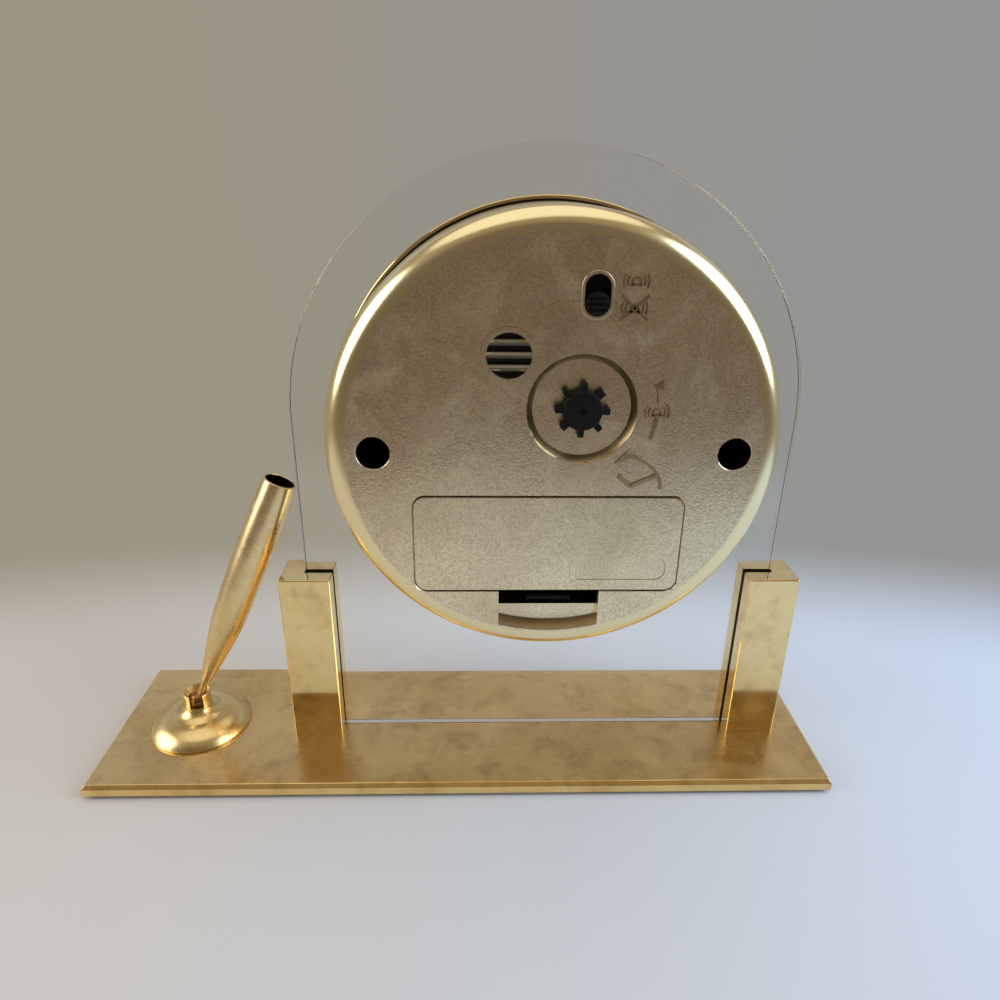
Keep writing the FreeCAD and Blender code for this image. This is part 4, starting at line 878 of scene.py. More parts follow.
@dataclass
class Base:
    """Brass base, its pad and the posts."""

    bench: Bench
    edge: float = 0.12

    def build(self) -> None:
        """Dress the slab, the pad, the posts and the screws."""
        finishes = self.bench.finishes
        self.bench.settle("base_plate_piece", self.bench.from_node("base_plate"), finishes.base,
                          replaces=("base_plate",), edge=self.edge,
                          others=[(finishes.base_edge, lambda face: abs(face.normal.z) < 0.9)])
        self.bench.dress("base_pad", finishes.pad, self.edge)
        self.bench.dress("post_left", finishes.brass, self.edge / 2)
        self.bench.dress("post_right", finishes.brass, self.edge / 2)
        self.bench.dress("post_screws", finishes.steel)


@dataclass
class ClearPlate:
    """Arched clear plate with the hole for the clock."""

    bench: Bench
    half_width: float = 60.5
    thickness: float = 3.0
    hole_radius: float = 43.0
    edge: float = 0.2
    rest_gap: float = 0.08
    steps: int = 96

    def build(self) -> None:
        """Make the arch and cut the hole."""
        places = self.bench.places
        half = self.thickness / 2
        low = places.base_top - places.clock_z + self.rest_gap
        outline = [(-self.half_width, low), (self.half_width, low)]
        outline += arc((0, 0), self.half_width, 0, 180, self.steps)
        shape = prism([(x, -half, z) for x, z in outline], (0, self.thickness, 0))
        shape = carved(shape, [drum(0, 0, self.hole_radius, -half - 1, half + 1, 2 * self.steps)])
        places.at_clock(shape)
        self.bench.settle("arched_plate", shape, self.bench.finishes.acrylic, replaces=("clear_plate",),
                          edge=self.edge)


@dataclass
class BackCase:
    """Moulded back of the clock with everything on it."""

    bench: Bench
    radius: float = 48.8
    wall: float = 2.0
    bead: float = 4.9
    front_y: float = 1.5
    steps: int = 192
    chamfer: float = 0.3
    well_x: float = 38.05
    well_radius: float = 3.55
    well_wall: float = 1.25
    well_floor_y: float = 10.5
    well_floor: float = 1.5
    screw_hole: float = 1.5
    knob_x: float = -5.3
    knob_z: float = 9.5
    recess_radius: float = 11.2
    recess_draft: float = 1.0
    recess_depth: float = 1.6
    knob_radius: float = 4.15
    knob_reach: float = 5.7
    knob_height: float = 2.4
    knob_turn: float = -2.0
    knob_ribs: int = 8
    rib_half: float = 0.65
    shaft_y: float = 1.75
    shaft_radius: float = 1.5
    dimple: float = 0.78
    switch_x: float = -7.03
    switch_z: float = 32.4
    switch_radius: float = 2.55
    switch_rim: float = 0.65
    switch_rise: float = 0.2
    switch_button: float = 2.3
    switch_travel: float = 3.0
    button_rise: float = 1.5
    slider: Point = (4.2, 6.0)
    slider_thickness: float = 1.1
    leg: float = 1.2
    ridge_pitch: float = 1.1
    ridge_half: float = 0.25
    buzzer_x: float = 9.93
    buzzer_z: float = 20.6
    grille_radius: float = 4.5
    grille_rim: float = 5.9
    grille_rise: float = 0.25
    bar_pitch: float = 2.56
    bar_height: float = 1.25
    bay_x: float = 0.7
    bay_z: float = -21.3
    bay_width: float = 57.2
    bay_height: float = 16.4
    bay_wall: float = 1.2
    bay_floor_y: float = 6.2
    door_width: float = 58.8
    door_height: float = 22.8
    door_corner: float = 2.6
    door_gap: float = 0.3
    door_thickness: float = 1.7
    ledge: float = 1.4
    ledge_margin: float = 1.3
    finger_width: float = 22.8
    finger_slot: float = 4.6
    finger_reach: float = 43.3
    finger_floor_reach: float = 41.6
    finger_depth: float = 2.4
    pill: Point = (-15.2, -27.3)
    pill_size: Point = (21.4, 5.4)
    pill_depth: float = 0.16
    tab_x: float = 18.0
    tab_half: float = 2.5
    tab_reach: float = 1.1
    tongue_half: float = 5.0
    tongue_depth: float = 3.6
    tongue_wall: float = 0.9
    tongue_reach: float = 3.2

    @property
    def face(self) -> float:
        """Where the flat back face is."""
        return self.bench.places.face_y

    @property
    def slot_top(self) -> float:
        """Upper edge of the finger hollow."""
        return self.bay_z - self.door_height / 2 - self.door_gap

    @property
    def pocket_y(self) -> float:
        """Bottom of the pocket that the door's tongue goes into."""
        return self.face - self.door_thickness - self.tongue_depth - 1.1

    def build(self) -> None:
        """Make the case, its door, knob, switch, screws and signs."""
        self.shell()
        self.door()
        self.knob()
        self.switch()
        self.signs()
        self.inside()

    def shell(self) -> None:
        """Turn the cup, add what is moulded inside, and cut the openings."""
        face = self.face
        floor = face - self.wall
        flat = self.radius - self.bead
        inside = self.radius - self.wall
        bead_y = face - self.bead
        outline = [(0, face), *arc((flat, bead_y), self.bead, 90, 0, 14), (self.radius, self.front_y),
                   (inside, self.front_y), *arc((flat, bead_y), self.bead - self.wall, 0, 90, 6), (0, floor)]
        shape = turned(outline, self.steps)
        shape = built_up(shape, self.mouldings(floor))
        shape = carved(shape, self.openings(face, floor))
        shape = built_up(shape, self.bars(face, floor))
        self.bench.places.at_clock(shape)
        finishes = self.bench.finishes
        # Painted shade: the hollows are black; the knob's recess wall, the finger lip and the grille ring's
        # wall take the shaded wall finish, and the grille bars a dark grey.
        self.bench.settle("back_case_shell", shape, finishes.case, replaces=("back_case",),
                          others=[(finishes.well, self.in_hollow), (finishes.shaded, self.on_recess_wall),
                                  (finishes.shaded, self.on_lip), (finishes.grille, self.on_bar),
                                  (finishes.shaded, self.on_rim)])

    def local(self, side: bmesh.types.BMFace) -> Vector:
        """Middle of a face, about the hands' axis."""
        places = self.bench.places
        return side.calc_center_median() - Vector((places.clock_x, 0, places.clock_z))

    def from_point(self, side: bmesh.types.BMFace, x: float, z: float) -> float:
        """Distance of a face's middle from a line along Y."""
        middle = self.local(side)
        return math.hypot(middle.x - x, middle.z - z)

    def in_hollow(self, side: bmesh.types.BMFace) -> bool:
        """Whether a face is down in a screw well, in the slide's slot or in the door's pocket, where black is
        painted as shade.
        """
        middle = self.local(side)
        reach = 0.05
        in_well = math.hypot(abs(middle.x) - self.well_x, middle.z) < self.well_radius + reach
        in_slot = (abs(middle.x - self.switch_x) < self.switch_radius + reach
                   and abs(middle.z - self.switch_z) < self.switch_radius + self.switch_travel / 2 + reach)
        in_pocket = (abs(middle.x) < self.finger_width / 2 + reach
                     and self.slot_top - self.finger_slot - reach < middle.z < self.slot_top + 2.5)
        deep = 0.3 if in_well else 0.6 if in_slot else self.door_thickness - 0.1
        return (in_well or in_slot or in_pocket) and middle.y < self.face - deep

    def on_recess_wall(self, side: bmesh.types.BMFace) -> bool:
        """Whether a face is on the sloping wall round the knob."""
        out = self.from_point(side, self.knob_x, self.knob_z)
        low = self.recess_radius - self.recess_draft - 0.1
        return low < out < self.recess_radius + 0.4 and self.local(side).y < self.face - 0.02

    def on_lip(self, side: bmesh.types.BMFace) -> bool:
        """Whether a face is on the lip of the finger hollow."""
        middle = self.local(side)
        out = math.hypot(middle.x, middle.z)
        return (self.finger_floor_reach + 0.1 < out < self.finger_reach + 0.05 and middle.z < self.slot_top
                and self.face - self.finger_depth < middle.y < self.face - 0.02
                and abs(middle.x) < self.finger_width / 2)

    def on_bar(self, side: bmesh.types.BMFace) -> bool:
        """Whether a face is on the grille's bars."""
        out = self.from_point(side, self.buzzer_x, self.buzzer_z)
        return out < self.grille_radius and self.local(side).y < self.face + 0.1

    def on_rim(self, side: bmesh.types.BMFace) -> bool:
        """Whether a face is on the outer wall of the grille's ring."""
        out = self.from_point(side, self.buzzer_x, self.buzzer_z)
        height = self.local(side).y - self.face
        return abs(out - self.grille_rim) < 0.2 and 0.01 < height < self.grille_rise - 0.01

    def mouldings(self, floor: float) -> list[bmesh.types.BMesh]:
        """Wells, battery bay, door ledge, knob boss and finger lip behind the face."""
        pieces = []
        for side in (-1, 1):
            pieces.append(drum(side * self.well_x, 0, self.well_radius + self.well_wall,
                               self.well_floor_y - self.well_floor, floor + 1, 48))
        pieces.append(slab(self.bay_x, self.bay_z, self.bay_width / 2 + self.bay_wall,
                           self.bay_height / 2 + self.bay_wall, self.bay_floor_y - self.bay_wall, floor + 1))
        margin = self.door_gap + self.ledge_margin
        ledge_y = self.face - self.door_thickness
        pieces.append(slab(self.bay_x, self.bay_z, self.door_width / 2 + margin,
                           self.door_height / 2 + margin, ledge_y - self.ledge, floor + 0.5))
        recess_floor = self.face - self.recess_depth
        pieces.append(drum(self.knob_x, self.knob_z, self.recess_radius + 0.8, recess_floor - 1.6,
                           floor + 0.7, 96))
        half = self.finger_width / 2 + 1.2
        lip = block((-half, self.face - self.finger_depth - 1.2, -self.radius),
                    (half, floor + 0.6, self.slot_top - self.finger_slot + 0.5))
        pocket = block((-half, self.pocket_y - 1.2, self.slot_top - self.finger_slot - 1.2),
                       (half, floor + 0.7, self.slot_top + 2.7))
        round_part = drum(0, 0, self.radius - self.wall + 0.3, 10, floor + 0.6, self.steps)
        pieces.append(combined(built_up(lip, [pocket]), round_part, Cut.SHARED))
        pieces.append(drum(self.buzzer_x, self.buzzer_z, self.grille_rim, floor + 0.5,
                           self.face + self.grille_rise, 72, self.grille_rim - 0.15))
        outer = self.switch_radius + self.switch_rim
        rim = soft_plate(2 * outer, 2 * outer + self.switch_travel, outer * 0.999, self.switch_x,
                         self.switch_z, floor + 0.4, self.face + self.switch_rise, 18)
        round_off(rim, [edge for edge in rim.edges if all(v.co.y > self.face for v in edge.verts)], 0.18, 3)
        pieces.append(rim)
        return pieces

    def openings(self, face: float, floor: float) -> list[bmesh.types.BMesh]:
        """Everything that is hollow or open in the case."""
        cuts = []
        for side in (-1, 1):
            cuts.append(flared(drum(side * self.well_x, 0, self.well_radius, self.well_floor_y, face, 48),
                               0.1, 0.1))
            cuts.append(drum(side * self.well_x, 0, self.screw_hole, self.well_floor_y - 5,
                             self.well_floor_y + 1, 24))
        half_z = self.bay_height / 2
        cuts.append(slab(self.bay_x, self.bay_z, self.bay_width / 2, half_z, self.bay_floor_y, face + 1))
        gap = 2 * self.door_gap
        ledge_y = face - self.door_thickness
        doorway = soft_plate(self.door_width + gap, self.door_height + gap, self.door_corner + self.door_gap,
                             self.bay_x, self.bay_z, ledge_y, face)
        cuts.append(flared(doorway, 0.2, 0.2))
        recess = drum(self.knob_x, self.knob_z, self.recess_radius - self.recess_draft,
                      face - self.recess_depth, face, 128, self.recess_radius)
        cuts.append(flared(recess, self.chamfer, self.chamfer))
        cuts.append(drum(self.knob_x, self.knob_z, self.shaft_radius + 0.25, face - 9, face - 1, 32))
        cuts.append(drum(self.buzzer_x, self.buzzer_z, self.grille_radius, floor - 1, face + 1, 72,
                         self.grille_radius + 0.15))
        width = 2 * self.switch_radius
        cuts.append(soft_plate(width, width + self.switch_travel, self.switch_radius * 0.999, self.switch_x,
                               self.switch_z, floor - 1, face + 1, 18))
        cuts.append(self.finger_hollow(face))
        half = self.finger_width / 2
        cuts.append(block((-half, self.pocket_y, self.slot_top - self.finger_slot),
                          (half, face + 1, self.slot_top)))
        cuts.append(block((-5.3, self.pocket_y, self.slot_top - 0.5), (5.3, ledge_y, self.slot_top + 1.8)))
        tab_low = self.bay_z + half_z - 0.1
        for side in (-1, 1):
            middle = self.bay_x + side * self.tab_x
            cuts.append(block((middle - 2.8, ledge_y - self.ledge - 1, tab_low),
                              (middle + 2.8, ledge_y + 0.1, tab_low + 5.0)))
        return cuts

    def finger_hollow(self, face: float) -> bmesh.types.BMesh:
        """Hollow for a fingertip: a flat floor, then a curved lip that slopes out to the face."""
        floor_y = face - self.finger_depth
        reach = self.finger_reach
        bend = self.finger_floor_reach
        outline = [(0, floor_y), (bend, floor_y), (bend + 0.25, floor_y + 0.1),
                   (reach - 0.25, face - 0.2), (reach, face), (reach, face + 1), (0, face + 1)]
        shape = turned(outline, self.steps)
        span = soft_plate(self.finger_width, 2 * (reach + self.slot_top), 1.2, 0,
                          self.slot_top - reach - self.slot_top, floor_y - 1, face + 2, 6)
        return combined(shape, span, Cut.SHARED)

    def bars(self, face: float, floor: float) -> list[bmesh.types.BMesh]:
        """Three bars across the grille, each with a ridge."""
        bars = []
        half = self.bar_height / 2
        reach = self.grille_radius + 0.2
        for index in (-1, 0, 1):
            z = self.buzzer_z + index * self.bar_pitch
            outline = [(floor, z - half), (face - 0.45, z - half), (face, z - 0.12), (face, z + 0.12),
                       (face - 0.45, z + half), (floor, z + half)]
            shape = prism([(self.buzzer_x - reach, y, height) for y, height in outline], (2 * reach, 0, 0))
            round_part = drum(self.buzzer_x, self.buzzer_z, reach, floor - 1, face + 1, 72)
            bars.append(combined(shape, round_part, Cut.SHARED))
        return bars

    def door(self) -> None:
        """Battery door with its hooks, spring tongue and bare plate."""
        face = self.face
        back = face - self.door_thickness
        panel = soft_plate(self.door_width, self.door_height, self.door_corner, self.bay_x, self.bay_z, back,
                           face)
        rim = [edge for edge in panel.edges if all(vert.co.y > face - 0.01 for vert in edge.verts)]
        round_off(panel, rim, 0.22, 2)
        pill = flared(soft_plate(*self.pill_size, 2.3, *self.pill, face - self.pill_depth, face), 0.1, 0.12)
        panel = carved(panel, [pill])
        pieces = [panel]
        top = self.bay_z + self.door_height / 2
        root = self.bay_z + self.bay_height / 2 + 0.4
        for side in (-1, 1):
            low_x = self.bay_x + side * self.tab_x - self.tab_half
            high_x = low_x + 2 * self.tab_half
            pieces.append(block((low_x, back - 1, root), (high_x, back + 0.01, top - 0.4)))
            pieces.append(block((low_x, back - 1, top - 0.5), (high_x, back - 0.1, top + self.tab_reach)))
        low = self.bay_z - self.door_height / 2 + self.door_gap
        deep = back - self.tongue_depth
        half, wall = self.tongue_half, self.tongue_wall
        tip = low - self.tongue_reach
        pieces.append(block((-half, deep, low), (half, back + 0.01, low + wall)))
        pieces.append(block((-half, deep - wall, tip), (half, deep, low + wall)))
        pieces.append(block((-half, deep - wall, tip), (half, back + 0.8, tip + wall)))
        shape = self.bench.places.at_clock(merged(pieces))
        low_edge = self.bench.places.clock_z + self.bay_z - self.door_height / 2

        def on_tongue(side: bmesh.types.BMFace) -> bool:
            middle = side.calc_center_median()
            return middle.y < back - 0.05 or middle.z < low_edge - 0.1

        pill_x, pill_z = self.pill[0] + self.bench.places.clock_x, self.pill[1] + self.bench.places.clock_z

        def on_pill_wall(side: bmesh.types.BMFace) -> bool:
            middle = side.calc_center_median()
            near = abs(middle.x - pill_x) < 11 and abs(middle.z - pill_z) < 3
            return near and side.normal.y < 0.95 and middle.y > back + 1

        finishes = self.bench.finishes
        # Painted shade: the door's back and tongue take the black of the hollows, and the pill's walls the
        # shaded wall finish.
        self.bench.settle("battery_door_panel", shape, finishes.case, "door", ("battery_door",),
                          others=[(finishes.well, on_tongue), (finishes.shaded, on_pill_wall)])

    def knob(self) -> None:
        """Black knob with eight ribs and a small dimple, on its shaft."""
        floor = self.face - self.recess_depth + 0.3
        top = floor + self.knob_height
        radius = self.knob_radius
        core = turned([(0, self.shaft_y), (self.shaft_radius, self.shaft_y), (self.shaft_radius, floor),
                       (radius, floor), (radius, top - 0.4), (radius - 0.12, top - 0.12), (radius - 0.4, top),
                       (0.95, top), (0.82, top - 0.12), (self.dimple, top - 0.6), (0, top - 0.6)], 64)
        pieces = [core]
        for index in range(self.knob_ribs):
            rib = block((radius - 1, floor, -self.rib_half), (self.knob_reach, top - 0.4, self.rib_half))
            outer = [edge for edge in rib.edges if all(vert.co.x > radius for vert in edge.verts)]
            round_off(rib, outer, 0.22, 3)
            pieces.append(swung(rib, about(Axis.Y, 360 * index / self.knob_ribs + self.knob_turn)))
        shape = moved(merged(pieces), self.knob_x, 0, self.knob_z)
        self.bench.settle("ribbed_knob", self.bench.places.at_clock(shape), self.bench.finishes.knob, "knob",
                          ("setting_knob",), edge=0.1)

    def switch(self) -> None:
        """Round slider with ridges, on its plate."""
        z = self.switch_z - self.switch_travel / 2
        back = self.face - self.wall - 0.15
        top = self.face + self.button_rise
        under = back - self.slider_thickness
        plate = slab(self.switch_x, z, *self.slider, under, back)
        leg_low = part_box("alarm_switch")[0].y / MM
        leg = slab(self.switch_x, z, self.leg, self.leg, leg_low, under)
        radius = self.switch_button
        button = turned([(0, back), (radius, back), (radius, top - 0.35), (radius - 0.1, top - 0.1),
                         (radius - 0.35, top), (0, top)], 48)
        moved(button, self.switch_x, 0, z)
        ridges = [slab(self.switch_x, z + offset, 3, self.ridge_half, top - 0.4, top + 1)
                  for offset in (-self.ridge_pitch, 0, self.ridge_pitch)]
        shape = self.bench.places.at_clock(merged([plate, leg, carved(button, ridges)]))
        self.bench.settle("alarm_slider", shape, self.bench.finishes.knob, "switch", ("alarm_switch",),
                          edge=0.05)

    def signs(self) -> None:
        """Raised signs for the alarm and for setting the hands."""
        sign = SignMaker(self.face)
        pieces = sign.waves((-14.33, 35.14)) + sign.waves((-14.33, 30.08)) + sign.cross((-14.33, 30.08))
        pieces += sign.turn_arrow((self.knob_x, self.knob_z), 15.5)
        pieces += sign.waves((-20.67, 9.23))
        pieces += sign.hands_arrow((-16.44, -7.18))
        shape = self.bench.places.at_clock(merged(pieces))

        def on_flank(side: bmesh.types.BMFace) -> bool:
            return side.normal.y < 0.9

        # Painted shade: the tops take the darker gold and the flanks the shaded wall finish.
        self.bench.settle("raised_signs", shape, self.bench.finishes.sign,
                          others=[(self.bench.finishes.shaded, on_flank)])

    def inside(self) -> None:
        """Dress the screws, the cell and its contacts."""
        finishes = self.bench.finishes
        self.bench.dress("case_screws", finishes.knob)
        self.bench.dress("battery_contact_plus", finishes.nickel)
        self.bench.dress("battery_contact_minus", finishes.nickel)
        low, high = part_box("battery")
        end = high.x / MM - 9

        def at_tip(face: bmesh.types.BMFace) -> bool:
            return face.calc_center_median().x > end

        shape = self.bench.from_node("battery")
        bmesh.ops.bisect_plane(shape, geom=shape.verts[:] + shape.edges[:] + shape.faces[:],
                               plane_co=(end, 0, 0), plane_no=(1, 0, 0))
        self.bench.settle("round_cell", shape, finishes.cell, replaces=("battery",),
                          others=[(finishes.cell_gold, at_tip)])


@dataclass
class SignMaker:
    """Small raised signs on the back face, in (x, z) about the hands' axis."""

    face: float
    rise: float = 0.3
    sink: float = 0.1
    line: float = 0.5
    broad: float = 0.9

    def band(self, centre: Point, radius: float, start: float, end: float, width: float | None = None
             ) -> bmesh.types.BMesh:
        """Curved line: angles in degrees, from +X towards +Z."""
        half = (width or self.line) / 2
        low, high = self.face - self.sink, self.face + self.rise
        top = half - min(0.15, half / 2)
        outline = [(radius - half, low), (radius + half, low), (radius + top, high), (radius - top, high)]
        shape = turned(outline, 14, closed=True, angle=math.radians(end - start), start=-math.radians(end))
        return moved(shape, centre[0], 0, centre[1])

    def bar(self, first: Point, second: Point, width: float | None = None) -> bmesh.types.BMesh:
        """Straight line between two points."""
        run = Vector((second[0] - first[0], second[1] - first[1]))
        half = (width or self.line) / 2
        shape = block((0, self.face - self.sink, -half), (run.length, self.face + self.rise, half))
        return moved(swung(shape, Matrix.Rotation(-math.atan2(run.y, run.x), 3, "Y")), first[0], 0, first[1])

    def triangle(self, corners: Sequence[Point]) -> bmesh.types.BMesh:
        """Filled arrow head."""
        return prism([(x, self.face - self.sink, z) for x, z in corners], (0, self.sink + self.rise, 0))

    def waves(self, centre: Point) -> list[bmesh.types.BMesh]:
        """Sounding bell: a small bell between two pairs of waves."""
        x, z = centre
        bell = [self.band((x, z - 0.1), 0.75, 0, 180), self.bar((x - 1.0, z - 0.75), (x + 1.0, z - 0.75)),
                self.bar((x - 0.75, z - 0.75), (x - 0.75, z)), self.bar((x + 0.75, z - 0.75), (x + 0.75, z))]
        for radius in (1.7, 2.5):
            bell.append(self.band((x, z - 0.1), radius, -28, 36))
            bell.append(self.band((x, z - 0.1), radius, 144, 208))
        return bell

    def cross(self, centre: Point) -> list[bmesh.types.BMesh]:
        """Two strokes through a sign."""
        x, z = centre
        return [self.bar((x - 2.7, z - rise), (x + 2.7, z + rise)) for rise in (2.4, -2.4)]

    def turn_arrow(self, centre: Point, radius: float) -> list[bmesh.types.BMesh]:
        """Arrow round the knob on the side away from the grille, broken for the bell in its middle."""
        low = self.band(centre, radius, 186, 203, 1.1)
        high = self.band(centre, radius, 162, 174, 0.5)
        head = self.triangle([(-19.54, 14.67), (-21.66, 13.85), (-21.47, 15.71)])
        return [low, high, head]

    def hands_arrow(self, vertex: Point) -> list[bmesh.types.BMesh]:
        """Two clock hands under a curved arrow."""
        x, z = vertex
        swing = (x + 1.54, z - 1.42)
        return [self.bar(vertex, (x + 2.76, z + 2.29), self.broad),
                self.bar(vertex, (x - 5.16, z + 2.31), self.broad),
                self.band(swing, 8.15, 92, 175, self.broad),
                self.triangle([(x + 3.7, z + 5.2), (x + 1.1, z + 7.9), (x + 1.1, z + 5.9)])]


@dataclass
class Front:
    """Bezel, glass, dial, calendar and hands."""

    bench: Bench
    steps: int = 192
    case_radius: float = 49.2
    bezel_wall: float = 0.7
    lip: float = 4.9
    rise: float = 2.6
    numeral_radius: float = 37.2
    numeral_size: float = 7.2
    track_radius: float = 43.6
    shown_day: int = 12
    days: int = 31
    day_radius: float = 24.05
    day_size: float = 3.5
    window: Point = (5.4, 4.6)

    def build(self) -> None:
        """Make the front of the clock from the outside in."""
        self.rings()
        self.face()
        self.calendar()
        self.hands()

    def rings(self) -> None:
        """Bezel, front case, sloping ring and glass."""
        places = self.bench.places
        finishes = self.bench.finishes
        inner = self.case_radius + 0.1
        outer = inner + self.bezel_wall
        lip = outer - self.lip
        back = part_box("bezel")[1].y / MM
        seat = places.lens_front - 0.1
        crest = seat - self.rise
        outline = [(inner, back), (outer - 0.15, back), (outer, back - 0.15), (outer, seat + 0.1)]
        outline += smooth_line([(outer, seat), (outer - 0.5, seat - 1.5), (outer - 1.7, crest + 0.12),
                                (outer - 2.6, crest), (lip + 1.0, crest + 0.7), (lip + 0.15, seat - 0.5)], 5)
        outline += [(lip, seat - 0.15), (lip, seat), (inner, seat)]
        shape = places.at_clock(turned(outline, self.steps, closed=True))
        self.bench.settle("polished_bezel", shape, finishes.bezel, replaces=("bezel",))
        self.bench.dress("front_case", finishes.gold)
        self.bench.dress("inner_ring", finishes.gold)
        radius = (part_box("lens")[1].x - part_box("lens")[0].x) / 2 / MM
        shape = turned([(0, places.lens_back), (radius, places.lens_back), (radius, places.lens_front + 0.3),
                        (radius - 0.3, places.lens_front), (0, places.lens_front)], self.steps)
        self.bench.settle("front_glass", places.at_clock(shape), finishes.glass, replaces=("lens",))

    def face(self) -> None:
        """Dial with its window, minute track and numerals."""
        places = self.bench.places
        finishes = self.bench.finishes
        radius = (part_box("dial")[1].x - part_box("dial")[0].x) / 2 / MM
        shape = drum(0, 0, radius, places.dial_front, places.dial_back, self.steps)
        hole = drum(0, 0, 3.5, places.dial_front - 1, places.dial_back + 1, 48)
        width, height = self.window
        window = slab(self.day_radius, 0, width / 2, height / 2, places.dial_front - 1, places.dial_back + 1)
        self.bench.settle("dial_face", places.at_clock(carved(shape, [hole, window])), finishes.dial,
                          replaces=("dial",))
        front = places.dial_front
        marks = []
        for minute in range(60):
            on_hour = minute % 5 == 0
            length, wide = (2.2, 0.9) if on_hour else (1.2, 0.3)
            mark = block((-wide / 2, front - 0.03, self.track_radius - length),
                         (wide / 2, front + 0.01, self.track_radius))
            marks.append(swung(mark, about(Axis.Y, 6 * minute)))
        self.bench.settle("minute_track", places.at_clock(merged(marks)), finishes.print)
        numerals = []
        for hour in range(1, 13):
            angle = math.radians(30 * hour)
            x, z = self.numeral_radius * math.sin(angle), self.numeral_radius * math.cos(angle)
            numerals.append(self.figure(str(hour), self.numeral_size, front - 0.03, x, z))
        self.bench.settle("hour_figures", places.at_clock(merged(numerals)), finishes.print)
        trim = soft_plate(width + 1.2, height + 1.2, 0.4, self.day_radius, 0, front - 0.25, front + 0.01, 4)
        opening = slab(self.day_radius, 0, width / 2, height / 2, front - 1, front + 1)
        self.bench.settle("window_frame", places.at_clock(carved(trim, [opening])), finishes.gilt, edge=0.08)

    def figure(self, text: str, size: float, y: float, x: float, z: float, turn: float = 0.0
               ) -> bmesh.types.BMesh:
        """Figure that faces the front, centred on (x, z).

        Args:
            text: Plain number.
            size: Height of the type.
            y: Front of the figure.
            x: Centre.
            z: Centre.
            turn: Turn about its own centre in degrees, from +X towards +Z.

        Returns:
            The figure as a thin solid.
        """
        curve = bpy.data.curves.new("figure", "FONT")
        curve.body = text
        curve.size = size
        curve.align_x = "CENTER"
        curve.align_y = "CENTER"
        curve.extrude = 0.02
        curve.resolution_u = 4
        holder = bpy.data.objects.new("figure", curve)
        bpy.context.scene.collection.objects.link(holder)
        bpy.context.view_layer.update()
        graph = bpy.context.evaluated_depsgraph_get()
        mesh = bpy.data.meshes.new_from_object(holder.evaluated_get(graph))
        shape = bmesh.new()
        shape.from_mesh(mesh)
        bpy.data.objects.remove(holder)
        bpy.data.curves.remove(curve)
        bpy.data.meshes.remove(mesh)
        return moved(swung(shape, about(Axis.Y, -turn) @ about(Axis.X, 90)), x, y + 0.02, z)

    def calendar(self) -> None:
        """Date ring with the days of the month."""
        finishes = self.bench.finishes
        self.bench.dress("date_ring", finishes.date)
        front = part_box("date_ring")[0].y / MM
        figures = []
        for day in range(1, self.days + 1):
            turn = -360.0 * (day - self.shown_day) / self.days
            angle = math.radians(turn)
            x, z = self.day_radius * math.cos(angle), self.day_radius * math.sin(angle)
            figures.append(self.figure(str(day), self.day_size, front - 0.03, x, z, turn))
        shape = self.bench.places.at_clock(merged(figures))
        self.bench.settle("day_figures", shape, finishes.date_print, "calendar_ring")

    def hands(self) -> None:
        """Hands with a softened top."""
        finishes = self.bench.finishes
        for hand, finish, edge in (("hour", finishes.hand, 0.06), ("minute", finishes.hand, 0.06),
                                   ("second", finishes.gilt, 0.04), ("alarm", finishes.gilt, 0.05)):
            self.bench.dress(hand + "_hand", finish, edge)


